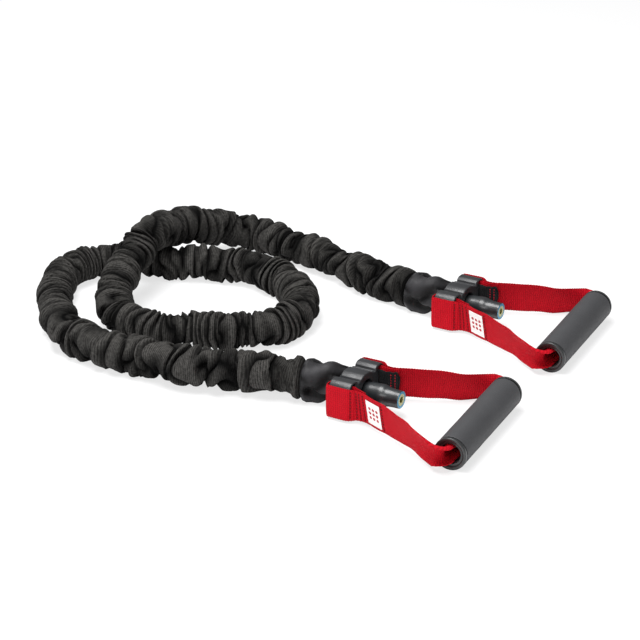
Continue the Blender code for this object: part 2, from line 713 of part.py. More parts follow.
def coil_path():
    """Middle line of the coil, with a straight lead at each end."""
    start = Vector((*COIL_START, STRETCH_Z))
    end = Vector((*COIL_END, STRETCH_Z))
    start_way = Vector((*COIL_START_WAY, 0.0)).normalized()
    end_way = Vector((*COIL_END_WAY, 0.0)).normalized()
    inner_start = start + start_way * STRAIGHT_LEAD
    inner_end = end - end_way * STRAIGHT_LEAD
    lying = [Vector((x, y, COIL_Z + rise)) for x, y, rise in COIL_ROUTE]
    knots = [inner_start] + lying + [inner_end]
    return [start] + smooth_path(knots, start_way, end_way) + [end]


def stretch_path(sign, drift, route, coil_place, coil_way):
    """Middle line from a cuff's rear end to the coil, with a straight lead at each end."""
    start_way = axis_way(CUFF_REAR, drift)
    start = handle_origin(sign) + axis_point(CUFF_REAR, drift) + start_way * RUN_GAP / 2
    end = Vector((*coil_place, STRETCH_Z))
    end_way = Vector((*coil_way, 0.0)).normalized()
    inner_start = start + start_way * STRAIGHT_LEAD
    inner_end = end - end_way * STRAIGHT_LEAD
    knots = [inner_start] + [Vector((x, y, STRETCH_Z)) for x, y in route] + [inner_end]
    return [start] + smooth_path(knots, start_way, end_way) + [end]


def rib_stations(length, pitch, crest, valley):
    """Distances and radii of the gathers: each rib is a valley and a crest."""
    count = round(length / pitch)
    distances = []
    radii = []
    for half in range(2 * count + 1):
        distance = RUN_GAP / 2 + (length - RUN_GAP) * half / (2 * count)
        puff = SLEEVE_PUFF * math.sin(math.tau * distance / PUFF_LENGTH)
        distances.append(distance)
        radii.append(crest + puff if half % 2 else valley)
    return distances, radii


def make_run(name, path, pitch, crest, valley, materials):
    """One run of the sleeve with its bore, and the rubber tube inside it."""
    length = path_length(path)
    distances, radii = rib_stations(length, pitch, crest, valley)
    ribs = points_along(path, distances)
    sleeve_name = "sleeve_" + name
    sleeve = link(sleeve_name, tube_mesh(sleeve_name, ribs, radii, 2),
                  materials["sleeve_fabric"])
    middle = even_distances(STRAIGHT_LEAD, length - STRAIGHT_LEAD, ROUTE_STEP)
    marks = [RUN_GAP / 2] + middle + [length - RUN_GAP / 2]
    core = points_along(path, marks)
    cutter_name = name + "_sleeve_bore_cutter"
    mesh = tube_mesh(cutter_name, overshoot(core, TUBE_WALL),
                     [SLEEVE_BORE_RADIUS] * len(core), 2)
    cut(sleeve, link(cutter_name, mesh, None))
    smooth(sleeve, 60)
    tube = tube_curve("tube_" + name, core, [TUBE_RADIUS] * len(core), 2)
    link("tube_" + name, tube, materials["rubber"])
    return ribs, radii


def least_gap(places, radii, apart):
    """Least clear distance between two runs that are more than apart steps away."""
    least = math.inf
    for first in range(len(places)):
        for second in range(first + apart, len(places)):
            room = (places[first] - places[second]).length - radii[first] - radii[second]
            least = min(least, room)
    return least


def main():
    clear_scene()
    materials = make_materials()
    for side, sign, drift in HANDLES:
        make_handle(side, sign, drift, materials)
    coil = coil_path()
    way_back = (-COIL_END_WAY[0], -COIL_END_WAY[1])
    runs = {"right": stretch_path(-1, HANDLES[0][2], RIGHT_ROUTE, COIL_START, COIL_START_WAY),
            "left": stretch_path(1, HANDLES[1][2], LEFT_ROUTE, COIL_END, way_back)}
    places, radii = make_run("coil", coil, COIL_RIB_PITCH, SLEEVE_CREST, SLEEVE_VALLEY,
                             materials)
    for side, path in runs.items():
        make_run(side, path, STRETCH_RIB_PITCH, STRETCH_CREST, STRETCH_VALLEY, materials)
    print(f"coil {path_length(coil):.4f} m, right run {path_length(runs['right']):.4f} m, "
          f"left run {path_length(runs['left']):.4f} m")
    print(f"least gap of the coil to itself {1000 * least_gap(places, radii, 16):.2f} mm")


main()
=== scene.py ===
"""Resistance tube with two hand grips, in fabric, webbing, rubber and foam.

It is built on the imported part, with one operator for each kind of piece. The panel in the
3D view's sidebar lists them with the sizes and colours that they read. Right is the handle
on the -Y side, left the one on +Y. A handle is drawn in its own frame: u runs forward from
the connector block's front face, v across it and w up, all from the tube's axis.
"""

import json
import math

import bmesh
import bpy
import numpy as np
from bpy.props import FloatProperty, FloatVectorProperty, PointerProperty
from mathutils import Matrix, Vector
from mathutils.geometry import interpolate_bezier

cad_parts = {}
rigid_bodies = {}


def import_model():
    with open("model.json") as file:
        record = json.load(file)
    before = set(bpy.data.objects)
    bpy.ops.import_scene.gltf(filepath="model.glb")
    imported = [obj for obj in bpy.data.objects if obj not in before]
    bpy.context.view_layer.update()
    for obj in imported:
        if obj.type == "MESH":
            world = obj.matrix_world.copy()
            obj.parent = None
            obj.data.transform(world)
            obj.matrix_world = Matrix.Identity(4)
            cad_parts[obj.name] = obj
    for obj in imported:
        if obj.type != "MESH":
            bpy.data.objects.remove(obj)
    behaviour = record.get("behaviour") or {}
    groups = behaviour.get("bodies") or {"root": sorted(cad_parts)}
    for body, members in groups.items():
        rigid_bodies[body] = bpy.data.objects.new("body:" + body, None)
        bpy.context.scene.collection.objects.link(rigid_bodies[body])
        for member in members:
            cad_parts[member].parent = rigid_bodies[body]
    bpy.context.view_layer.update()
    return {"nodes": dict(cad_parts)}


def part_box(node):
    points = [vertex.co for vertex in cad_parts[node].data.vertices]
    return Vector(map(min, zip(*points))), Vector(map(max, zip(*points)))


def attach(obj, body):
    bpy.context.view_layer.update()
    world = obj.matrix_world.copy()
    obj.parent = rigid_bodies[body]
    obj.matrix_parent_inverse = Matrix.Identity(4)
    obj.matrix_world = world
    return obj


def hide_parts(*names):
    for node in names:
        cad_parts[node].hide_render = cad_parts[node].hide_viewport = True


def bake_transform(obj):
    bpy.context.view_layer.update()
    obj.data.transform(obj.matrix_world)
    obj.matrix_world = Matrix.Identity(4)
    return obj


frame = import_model()

bl_info = {
    "name": "Resistance tube",
    "version": (1, 0, 0),
    "blender": (4, 5, 0),
    "location": "View3D > Sidebar > Resistance tube",
    "description": "Builds a resistance tube with two webbing handles, piece by piece",
    "category": "Object",
}

# Camera
CAMERA_PLACE = (0.9164, -1.8180, 0.9421)
CAMERA_AIM = (-0.1662, 0.0421, 0.0)
CAMERA_LENS = 135.5

# World and lamps: the world's strength as light, how much the floor glows by itself,
# and each lamp's name, place, aim, size and power
WORLD_LIGHT = 0.32
FLOOR_GLOW = 0.72
LAMPS = (
    ("lamp_top", (-0.4, -0.30, 1.85), (-0.12, 0.0, 0.0), (1.5, 1.0), 62.0),
    ("lamp_front", (0.3, -2.1, 1.2), (-0.05, 0.0, 0.0), (1.2, 0.8), 16.0),
)

# The handles, each with how far its cuff drifts across by its rear end
DRIFTS = {"right": -0.006, "left": 0.004}

# Sizes that the part's source holds too. The snug bore is that of sleeve, cuff and block
# round the tube
BLOCK_DEPTH = 0.0215
CUFF_GAP = 0.0005
CUFF_FRONT = -BLOCK_DEPTH - CUFF_GAP
CUFF_LENGTH = 0.040
GRIP_REACH = 0.1122
GRIP_YAW = math.radians(5.5)
GRIP_LENGTH = 0.138
GRIP_RADIUS = 0.0150
AXIS_Z = 0.018
STRETCH_Z = 0.0176
COIL_Z = 0.0169
SNUG_BORE = 0.00875
TUBE_RADIUS = 0.00825
CLEARANCE = 0.0003
STRAIGHT_LEAD = 0.033
SLOT_V = 0.024
SLOT_WIDTH = 0.0060
BLOCK_HALF_WIDTH = 0.033
SLOT_OUTER_WALL = 0.006
STRAP_FIT = 0.0004
BLOCK_EDGE = 0.0008
PINCH_U = 0.008
PINCH_V = 0.0285
SEAM_U = 0.0395
TAIL_END = 0.018
SEWN_SPREAD = math.radians(23)
SEWN_LEAN = math.radians(10)
LEG_LEAN = math.radians(16)
TURN_RADIUS = 0.009
LAYER_GAP = 0.0005

# Sizes of the scene alone: height of the slots, edge of the holes in a block, where a
# strap's inner layer ends, and the start and inset of its turn into the grip
SLOT_HEIGHT = 0.0326
HOLE_EDGE = 0.0007
TUCK_U = 0.0172
TURN_START = math.radians(113)
TURN_INSET = 0.0054

# Route of the free tube over the floor, as the part's source has it: x, y, rise
COIL_START = (-0.240, -0.150)
COIL_START_WAY = (-1.0, 0.0)
COIL_END = (-0.269, 0.160)
COIL_END_WAY = (1.0, -0.22)
COIL_ROUTE = (
    (-0.310, -0.146, 0.0), (-0.344, -0.132, 0.0), (-0.370, -0.108, 0.0),
    (-0.394, -0.080, 0.0), (-0.415, -0.048, 0.0), (-0.427, -0.012, 0.0),
    (-0.418, 0.023, 0.0), (-0.389, 0.045, 0.0), (-0.353, 0.059, 0.0),
    (-0.320, 0.075, 0.0), (-0.284, 0.086, 0.0), (-0.247, 0.083, 0.0),
    (-0.214, 0.067, 0.0), (-0.187, 0.041, 0.0), (-0.172, 0.007, 0.0),
    (-0.178, -0.029, 0.0), (-0.205, -0.054, 0.0), (-0.238, -0.072, 0.0),
    (-0.272, -0.089, 0.0), (-0.309, -0.087, 0.001), (-0.336, -0.063, 0.008),
    (-0.350, -0.028, 0.020), (-0.356, 0.009, 0.031), (-0.359, 0.046, 0.0360),
    (-0.362, 0.084, 0.0280), (-0.354, 0.123, 0.018), (-0.333, 0.156, 0.0055),
)
RIGHT_ROUTE = ((-0.146, -0.133), (-0.171, -0.142), (-0.194, -0.148))
LEFT_ROUTE = ((-0.151, 0.125), (-0.175, 0.133), (-0.200, 0.142))

# Each stretching run: its route, the coil's end that it meets, the coil's way there, and 1
# where the run goes on that way or -1 where it goes against it
RUNS = {
    "right": (RIGHT_ROUTE, COIL_START, COIL_START_WAY, 1),
    "left": (LEFT_ROUTE, COIL_END, COIL_END_WAY, -1),
}

UP = Vector((0.0, 0.0, 1.0))
GRIP_MIDDLE = Vector((GRIP_REACH, 0.0, GRIP_RADIUS - AXIS_Z))


class SleeveSizes(bpy.types.PropertyGroup):
    """Sizes of the gathered fabric sleeve."""

    fold_pitch: FloatProperty(
        name="Fold spacing", description="Spacing of the gathers, as a share of the usual",
        default=1.0, min=0.5, max=3.0)
    fold_depth: FloatProperty(
        name="Fold depth", description="Depth of the gathers, as a share of the usual",
        default=1.0, min=0.0, max=2.0)
    row_step: FloatProperty(
        name="Mesh step", description="Distance between rings of the sleeve's mesh",
        default=0.0009, min=0.0005, max=0.005, unit="LENGTH")


class StrapSizes(bpy.types.PropertyGroup):
    """Sizes of the webbing handle."""

    width: FloatProperty(
        name="Webbing width", description="Width of the strap's webbing",
        default=0.031, min=0.01, max=0.06, unit="LENGTH")
    thickness: FloatProperty(
        name="Webbing thickness", description="Thickness of the strap's webbing",
        default=0.0018, min=0.0005, max=0.004, unit="LENGTH")
    tail_width: FloatProperty(
        name="Tail width", description="Width of the black tails",
        default=0.026, min=0.01, max=0.05, unit="LENGTH")
    tail_thickness: FloatProperty(
        name="Tail thickness", description="Thickness of the black tails",
        default=0.0014, min=0.0005, max=0.004, unit="LENGTH")
    curl: FloatProperty(
        name="Curl in the grip", description="How far the webbing curls inside the grip",
        default=math.radians(238), min=0.0, max=math.radians(300), subtype="ANGLE")


class TubeColours(bpy.types.PropertyGroup):
    """Colours of the tube's substances."""

    sleeve: FloatVectorProperty(
        name="Sleeve fabric", description="Colour of the gathered sleeve",
        default=(0.0180, 0.0173, 0.0163), subtype="COLOR", min=0.0, max=1.0)
    cuff: FloatVectorProperty(
        name="Cuff satin", description="Colour of the plain cuffs",
        default=(0.0125, 0.0122, 0.0132), subtype="COLOR", min=0.0, max=1.0)
    strap: FloatVectorProperty(
        name="Strap webbing", description="Colour of the handle's webbing",
        default=(0.480, 0.0038, 0.0128), subtype="COLOR", min=0.0, max=1.0)
    block: FloatVectorProperty(
        name="Connector block", description="Colour of the moulded blocks",
        default=(0.0205, 0.0215, 0.0238), subtype="COLOR", min=0.0, max=1.0)
    grip: FloatVectorProperty(
        name="Grip foam", description="Colour of the foam grips",
        default=(0.041, 0.0415, 0.0445), subtype="COLOR", min=0.0, max=1.0)
    core: FloatVectorProperty(
        name="Tube core", description="Colour of the cut rubber under the tube's skin",
        default=(0.560, 0.580, 0.300), subtype="COLOR", min=0.0, max=1.0)


class Signal:
    """A number or vector on its way between shader nodes, open to ordinary arithmetic."""

    def __init__(self, finish, socket):
        self.finish = finish
        self.socket = socket

    def __add__(self, other):
        return self.finish.maths("ADD", self, other)

    def __radd__(self, other):
        return self.finish.maths("ADD", other, self)

    def __sub__(self, other):
        return self.finish.maths("SUBTRACT", self, other)

    def __rsub__(self, other):
        return self.finish.maths("SUBTRACT", other, self)

    def __mul__(self, other):
        return self.finish.maths("MULTIPLY", self, other)

    def __rmul__(self, other):
        return self.finish.maths("MULTIPLY", other, self)

    def __truediv__(self, other):
        return self.finish.maths("DIVIDE", self, other)

    def __rtruediv__(self, other):
        return self.finish.maths("DIVIDE", other, self)

    def __pow__(self, other):
        return self.finish.maths("POWER", self, other)

    def __gt__(self, other):
        return self.finish.maths("GREATER_THAN", self, other)

    def __lt__(self, other):
        return self.finish.maths("LESS_THAN", self, other)


def socket_name(key):
    """A shader socket's name from its keyword."""
    return key.replace("_", " ").title().replace("Ior", "IOR")


class Finish:
    """A material, with its surface put together from nodes."""

    def __init__(self, name, **constants):
        self.material = bpy.data.materials.new(name)
        self.material.use_nodes = True
        self.tree = self.material.node_tree
        self.shader = self.tree.nodes["Principled BSDF"]
        for key, value in constants.items():
            self.shader.inputs[socket_name(key)].default_value = value

    def socket(self, sockets, key):
        """A socket by its number, or by its name among those in use."""
        if isinstance(key, int):
            return sockets[key]
        return next(socket for socket in sockets if socket.enabled and socket.name == key)

    def feed(self, socket, value):
        """Link a signal to a socket, or set a plain value on it."""
        if isinstance(value, Signal):
            self.tree.links.new(value.socket, socket)
        else:
            socket.default_value = value

    def node(self, kind, settings, sockets, result=0):
        """Add a node: its settings first, then the values and links of its sockets."""
        made = self.tree.nodes.new("ShaderNode" + kind)
        for key, value in settings.items():
            if key == "stops":
                self.set_stops(made.color_ramp, value)
            else:
                setattr(made, key, value)
        for key, value in sockets.items():
            self.feed(self.socket(made.inputs, key), value)
        return Signal(self, self.socket(made.outputs, result))

    def set_stops(self, ramp, stops):
        """Give a colour ramp its stops as (place, grey level)."""
        while len(ramp.elements) < len(stops):
            ramp.elements.new(0.5)
        for element, (place, level) in zip(ramp.elements, stops):
            element.position = place
            element.color = (level, level, level, 1.0)

    def maths(self, operation, first, second=0.0):
        return self.node("Math", {"operation": operation}, {0: first, 1: second})

    def sine(self, value):
        return self.maths("SINE", value)

    def wave(self, phase):
        """A sine wave between 0 and 1."""
        return 0.5 + 0.5 * self.sine(phase)

    def absolute(self, value):
        return self.maths("ABSOLUTE", value)

    def floor(self, value):
        return self.maths("FLOOR", value)

    def at_least(self, value, least):
        return self.maths("MAXIMUM", value, least)

    def ramp(self, value, stops):
        return self.node("ValToRGB", {"stops": stops}, {"Fac": value})

    def blend(self, factor, first, second):
        """Colour between two colours."""
        return self.node("Mix", {"data_type": "RGBA"},
                         {"Factor": factor, "A": first, "B": second}, "Result")

    def place(self):
        """Place on the object at rest, as a vector."""
        return self.node("TexCoord", {}, {}, "Object")

    def woven(self):
        """Distance along a woven piece and distance across it, from its laid-out mesh."""
        laid = self.node("UVMap", {"uv_map": "laid_out"}, {}, "UV")
        return self.parts(laid)[:2]

    def crest(self):
        """How high each place stands, from 0 in a crease to 1 on a crown."""
        return self.node("Attribute", {"attribute_name": "crest"}, {}, "Fac")

    def parts(self, vector):
        """The three numbers of a vector."""
        split = self.node("SeparateXYZ", {}, {"Vector": vector}, "X")
        return [Signal(self, split.socket.node.outputs[k]) for k in range(3)]

    def grain(self, scale, detail=2.0):
        """Fine noise of a given scale per metre."""
        return self.node("TexNoise", {},
                         {"Vector": self.place(), "Scale": scale, "Detail": detail})

    def raise_by(self, height, distance, strength=1.0, under=None):
        """A bump from a height signal, over another bump where one is given."""
        sockets = {"Height": height, "Distance": distance, "Strength": strength}
        if under is not None:
            sockets["Normal"] = under
        return self.node("Bump", {}, sockets)

    def show(self, **sockets):
        """Feed the surface's own sockets and return the finished material."""
        for key, value in sockets.items():
            self.feed(self.shader.inputs[socket_name(key)], value)
        return self.material


def rgba(colour, factor=1.0):
    """A colour as four numbers, lighter or darker by a factor."""
    return (*(min(1.0, part * factor) for part in colour[:3]), 1.0)


def sleeve_finish(colour):
    """Matt black fabric with fine ribs round the tube, with painted light on its crests and
    painted shade in its creases.
    """
    finish = Finish("sleeve_fabric", specular_ior_level=0.08)
    rib_pitch, pick_pitch = 0.0017, 0.0016
    along, across = finish.woven()
    crest = finish.crest()
    cloud = finish.grain(60.0, 3.0)
    ribs = finish.wave(along * (math.tau / rib_pitch) + cloud * 5.0)
    picks = finish.wave(across * (math.tau / pick_pitch) + along * 2400.0)
    weave = ribs * (0.6 + 0.4 * picks)
    # Painted light and shade: the colour is lifted on the folds' crests and darkened in their
    # creases.
    rubbing_and_painted_crest_light = finish.ramp(crest, ((0.28, 0.0), (0.70, 0.42), (0.97, 1.0)))
    fleck = finish.ramp(finish.grain(420.0, 2.0), ((0.35, 0.0), (0.70, 1.0)))
    tone = rubbing_and_painted_crest_light * (0.04 + weave * 0.48 + cloud * 0.22 + fleck * 0.36)
    cloth = finish.blend(tone, rgba(colour, 0.04), rgba(colour, 4.4))
    bump = finish.raise_by(weave, 0.00040, 0.9)
    return finish.show(base_color=cloth, normal=bump, roughness=0.95 - 0.12 * weave)


def satin_finish(colour):
    """Plain satin with a fine twill and soft puckers."""
    finish = Finish("cuff_satin", sheen_weight=0.03, sheen_roughness=0.35,
                    specular_ior_level=0.17)
    twill_pitch = 0.0009
    along, across = finish.woven()
    lit = finish.ramp(finish.crest(), ((0.36, 0.03), (0.95, 1.0)))
    twill = finish.wave((along + across) * (math.tau / twill_pitch))
    pucker = finish.grain(110.0, 3.0)
    cloth = finish.blend(lit * (0.25 + twill * 0.3 + pucker * 0.45),
                         rgba(colour, 0.12), rgba(colour, 3.6))
    bump = finish.raise_by(pucker, 0.0008, 0.25, finish.raise_by(twill, 0.0002, 0.4))
    return finish.show(base_color=cloth, normal=bump, roughness=0.56 - 0.16 * pucker)


def webbing_finish(name, colour, darker):
    """Ribbed webbing: picks across it, split into columns by its warp."""
    finish = Finish(name, specular_ior_level=0.09)
    warp_width, pick_pitch, edge_darkening_start = 0.0021, 0.0019, 0.0142
    along, across = finish.woven()
    column = finish.floor(across / warp_width)
    shift = finish.maths("PINGPONG", column, 1.0) * 0.9
    pick = finish.wave(along * (math.tau / pick_pitch) + shift)
    warp = finish.absolute(finish.sine(across * (math.pi / warp_width)))
    weave = (pick * 0.7 + 0.3) * (0.35 + 0.65 * warp ** 0.5)
    # The webbing is darker toward both of its edges.
    edge = finish.at_least((finish.absolute(across) - edge_darkening_start) * 500.0, 0.0)
    cloud = finish.grain(120.0, 3.0)
    shade = finish.at_least(weave * 1.05 + cloud * 0.4 - edge * 0.25, 0.0)
    cloth = finish.blend(shade, rgba(colour, darker), rgba(colour))
    bump = finish.raise_by(weave, 0.00045, 0.8)
    return finish.show(base_color=cloth, normal=bump, roughness=0.86 - 0.16 * weave)


def thread_finish(name, colour):
    """Twisted sewing thread."""
    finish = Finish(name, specular_ior_level=0.2)
    twist = finish.grain(2600.0, 2.0)
    tint = finish.blend(twist, rgba(colour, 0.55), rgba(colour, 1.2))
    return finish.show(base_color=tint, normal=finish.raise_by(twist, 0.0002, 0.6),
                       roughness=0.7 - 0.2 * twist)


def moulded_finish(colour):
    """Satin moulded plastic with a fine spark grain and faint rubbing marks."""
    finish = Finish("block_plastic", specular_ior_level=0.5)
    spark = finish.grain(4200.0, 2.0)
    rubbing_and_painted_crest_light = finish.ramp(finish.grain(70.0, 5.0), ((0.42, 0.0), (0.66, 1.0)))
    tint = finish.blend(rubbing_and_painted_crest_light * 0.45 + spark * 0.2, rgba(colour, 0.80), rgba(colour, 1.55))
    return finish.show(base_color=tint, normal=finish.raise_by(spark, 0.00012, 0.35),
                       roughness=0.46 - 0.14 * rubbing_and_painted_crest_light)


def collar_finish(name="core_plastic", depth=1.0):
    """Smooth dark plastic of the grip's collars and core; a depth under 1 darkens it and its
    gloss as painted shade for their grooves.
    """
    finish = Finish(name, specular_ior_level=0.5 * depth)
    spark = finish.grain(3000.0, 2.0)
    haze = finish.grain(90.0, 4.0)
    tint = finish.blend(haze, rgba((0.012, 0.013, 0.0135), depth),
                        rgba((0.034, 0.036, 0.037), depth))
    return finish.show(base_color=tint, normal=finish.raise_by(spark, 0.00010, 0.3),
                       roughness=0.42 - 0.16 * haze)


def foam_finish(colour):
    """Closed-cell foam skin: fine pores and a slight draw along the grip."""
    finish = Finish("grip_foam", specular_ior_level=0.4)
    pores = finish.node("TexVoronoi", {}, {"Vector": finish.place(), "Scale": 1500.0},
                        "Distance")
    cloud = finish.grain(45.0, 4.0)
    fleck = finish.grain(1100.0, 2.0)
    tone = cloud * 0.55 + fleck * 0.45
    tint = finish.blend(tone, rgba(colour, 0.72), rgba(colour, 1.35))
    bump = finish.raise_by(pores, 0.00022, 0.5, finish.raise_by(cloud, 0.0012, 0.12))
    return finish.show(base_color=tint, normal=bump, roughness=0.72 - 0.14 * fleck)


def skin_finish():
    """The tube's dark rubber skin, with handling marks and drawn lines."""
    finish = Finish("tube_skin", specular_ior_level=0.55, coat_weight=0.1)
    along, across = finish.woven()
    drawn = finish.node("TexNoise", {"noise_dimensions": "2D"},
                        {"Vector": finish.node("CombineXYZ", {},
                                               {"X": along * 90.0, "Y": across * 900.0}),
                         "Scale": 1.0, "Detail": 2.0})
    haze = finish.grain(150.0, 4.0)
    tint = finish.blend(haze, rgba((0.006, 0.007, 0.008)), rgba((0.024, 0.027, 0.030)))
    bump = finish.raise_by(drawn * 0.5 + haze * 0.5, 0.0003, 0.35)
    return finish.show(base_color=tint, normal=bump, roughness=0.44 - 0.16 * haze)


def cut_finish(name, colour, darker):
    """Cut rubber on the end of the tube, with faint knife lines."""
    finish = Finish(name, specular_ior_level=0.4)
    lines = finish.grain(900.0, 3.0)
    tint = finish.blend(lines, rgba(colour, darker), rgba(colour, 1.1))
    return finish.show(base_color=tint, normal=finish.raise_by(lines, 0.0002, 0.4),
                       roughness=0.6 - 0.15 * lines)


def label_finish(red):
    """White woven label with plain rows of red dots."""
    finish = Finish("label_cloth")
    dot_gap, dot_radius, thread_pitch = 0.0046, 0.0015, 0.0006
    reach = dot_gap * 1.5
    along, across = finish.woven()
    aside = finish.maths("PINGPONG", along, dot_gap / 2)
    below = finish.maths("PINGPONG", across, dot_gap / 2)
    dots = (aside * aside + below * below) ** 0.5 < dot_radius
    ink = dots * (finish.absolute(along) < reach) * (finish.absolute(across) < reach)
    warp = finish.wave(along * (math.tau / thread_pitch))
    weft = finish.wave(across * (math.tau / thread_pitch))
    cloth = warp * weft
    white = finish.blend(cloth, (0.72, 0.71, 0.69, 1.0), (0.90, 0.89, 0.87, 1.0))
    thread = finish.blend(cloth, rgba(red, 0.7), rgba(red))
    tint = finish.blend(ink, white, thread)
    return finish.show(base_color=tint, normal=finish.raise_by(cloth + ink, 0.00015, 0.5),
                       roughness=0.75 - 0.1 * cloth)


FINISHES = {}


def finish_of(name):
    """The material of that name, made once."""
    colours = bpy.context.scene.tube_colours
    makers = {
        "sleeve": lambda: sleeve_finish(colours.sleeve),
        "satin": lambda: satin_finish(colours.cuff),
        "strap": lambda: webbing_finish("red_webbing", colours.strap, 0.42),
        "tail": lambda: webbing_finish("black_webbing", (0.020, 0.020, 0.021), 0.4),
        "strap_thread": lambda: thread_finish("red_thread", (0.12, 0.001, 0.005)),
        "tail_thread": lambda: thread_finish("bright_thread", (0.62, 0.015, 0.035)),
        "block": lambda: moulded_finish(colours.block),
        "collar": collar_finish,
        "groove": lambda: collar_finish("groove_shadow", 0.12),
        "foam": lambda: foam_finish(colours.grip),
        "skin": skin_finish,
        "tube_ring": lambda: cut_finish("tube_ring", (0.085, 0.36, 0.56), 0.70),
        "tube_core": lambda: cut_finish("tube_core", colours.core, 0.8),
        "tube_bore": lambda: cut_finish("tube_bore", (0.46, 0.45, 0.14), 0.6),
        "label": lambda: label_finish(colours.strap),
    }
    if name not in FINISHES:
        FINISHES[name] = makers[name]()
    return FINISHES[name]


def smooth_step(t):
    """Ease from 0 to 1 with level ends, for numbers and arrays."""
    t = np.clip(t, 0.0, 1.0)
    return t * t * (3 - 2 * t)


def smooth_path(points, start_way, end_way, pieces=12):
    """A dense curve through given points that leaves and arrives as told."""
    last = len(points) - 1
    slopes = []
    for index, point in enumerate(points):
        if index == 0:
            slopes.append(start_way.normalized() * (points[1] - point).length)
        elif index == last:
            slopes.append(end_way.normalized() * (point - points[last - 1]).length)
        else:
            slopes.append((points[index + 1] - points[index - 1]) / 2)
    dense = [points[0]]
    for index in range(last):
        run = interpolate_bezier(points[index], points[index] + slopes[index] / 3,
                                 points[index + 1] - slopes[index + 1] / 3,
                                 points[index + 1], pieces + 1)
        dense.extend(run[1:])
    return dense


def lengths_along(points):
    """Distance of each point from the first, along the run of points."""
    steps = np.linalg.norm(np.diff(points, axis=0), axis=1)
    return np.concatenate(([0.0], np.cumsum(steps)))


def read_at(distances, along, table):
    """Rows of a table at some distances, where along is the distance of each of its rows."""
    return np.stack([np.interp(distances, along, column) for column in table.T], 1)


class Line:
    """A dense curve that is read by its length."""

    def __init__(self, points):
        self.points = np.array([tuple(point) for point in points])
        self.along = lengths_along(self.points)
        self.length = float(self.along[-1])

    def at(self, distances):
        """Points at some distances from the start."""
        return read_at(distances, self.along, self.points)

    def frames(self, distances, reach=0.004):
        """Points with the way forward, the way sideways and the way up at each."""
        ahead = self.at(np.minimum(distances + reach, self.length))
        behind = self.at(np.maximum(distances - reach, 0.0))
        way = unit(ahead - behind)
        side = unit(np.cross(way, np.array(UP)))
        return self.at(distances), way, side, np.cross(side, way)


def unit(vectors):
    """Rows scaled to length 1."""
    return vectors / np.linalg.norm(vectors, axis=-1, keepdims=True)


class Ripple:
    """Smooth, repeatable unevenness along and round a tube, about -1 to 1."""

    def __init__(self, seed, wave, lobes, count=9):
        chance = np.random.default_rng(seed)
        self.rates = math.tau / (wave * chance.uniform(0.7, 1.6, count))
        self.turns = chance.integers(0, lobes + 1, count) * chance.choice((-1, 1), count)
        self.phases = chance.uniform(0.0, math.tau, count)
        self.scale = 1.0 / math.sqrt(count / 2)

    def __call__(self, along, angle):
        total = np.zeros(np.broadcast(along, angle).shape)
        for rate, turn, phase in zip(self.rates, self.turns, self.phases):
            total = total + np.sin(rate * along + turn * angle + phase)
        return np.clip(total * self.scale, -1.6, 1.6)


def face_outward(mesh):
    """Turn the faces of a closed mesh outward and shade them smooth."""
    bm = bmesh.new()
    bm.from_mesh(mesh)
    bmesh.ops.recalc_face_normals(bm, faces=bm.faces)
    bm.to_mesh(mesh)
    bm.free()
    mesh.shade_smooth()


def shell_mesh(name, rows, along=None, across=None, closed=False):
    """Skin rows of ring points, shaped (rows, around, 3), and lay the mesh out flat.

    The last row joins the first where closed is told, and both ends are capped otherwise.
    """
    count, around = rows.shape[:2]
    row = np.arange(count if closed else count - 1)[:, None]
    col = np.arange(around)[None, :]
    next_row = (row + 1) % count
    next_col = (col + 1) % around
    corners = ((row, col), (row, next_col), (next_row, next_col), (next_row, col))
    faces = np.stack([r * around + c for r, c in corners], -1).reshape(-1, 4).tolist()
    if not closed:
        faces.append(list(range(around)))
        faces.append(list(range(count * around - 1, (count - 1) * around - 1, -1)))
    mesh = bpy.data.meshes.new(name)
    mesh.from_pydata(rows.reshape(-1, 3).tolist(), [], faces)
    if along is not None:
        lay_out(mesh, row, col, np.asarray(along), np.asarray(across))
    face_outward(mesh)
    return mesh


def lay_out(mesh, row, col, along, across):
    """Give each face corner its distance along and across the piece."""
    last = np.minimum(row + 1, len(along) - 1)
    pairs = ((row, col), (row, col + 1), (last, col + 1), (last, col))
    size = (len(row), col.shape[1])
    places = np.stack([np.stack([np.broadcast_to(along[r], size),
                                 np.broadcast_to(across[c], size)], -1)
                       for r, c in pairs], 2).reshape(-1, 2)
    layer = mesh.uv_layers.new(name="laid_out")
    values = np.zeros((len(mesh.loops), 2), np.float32)
    values[:len(places)] = places
    layer.data.foreach_set("uv", values.ravel())


def add_piece(name, mesh, finish, body, sharp=None):
    """Put a mesh in the scene as a piece that rides on a body, where one is given."""
    piece = bpy.data.objects.new(name, mesh)
    bpy.context.scene.collection.objects.link(piece)
    if finish is not None:
        mesh.materials.append(finish_of(finish))
    if sharp is not None:
        mesh.set_sharp_from_angle(angle=math.radians(sharp))
    if body is not None:
        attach(piece, body)
    return piece


def refinish(mesh, finish):
    """Give a mesh one material in place of those that it has."""
    mesh.materials.clear()
    mesh.materials.append(finish_of(finish))


def handle_origin(side):
    """Centre of a block's front face, on the tube's axis."""
    low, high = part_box(side + "_block")
    return Vector((high.x, (low.y + high.y) / 2, (low.z + high.z) / 2))


def axis_point(u, drift):
    """Middle of the tube at u; behind the block it drifts across with the cuff."""
    past = max(0.0, CUFF_FRONT - u) / CUFF_LENGTH
    return Vector((u, drift * past * past, 0.0))


def cuff_rear(side):
    """The cuff's rear end, and the way that the tube takes from there."""
    rear, drift = CUFF_FRONT - CUFF_LENGTH, DRIFTS[side]
    way = axis_point(rear, drift) - axis_point(rear + CUFF_LENGTH / 5, drift)
    return handle_origin(side) + axis_point(rear, drift), way.normalized()


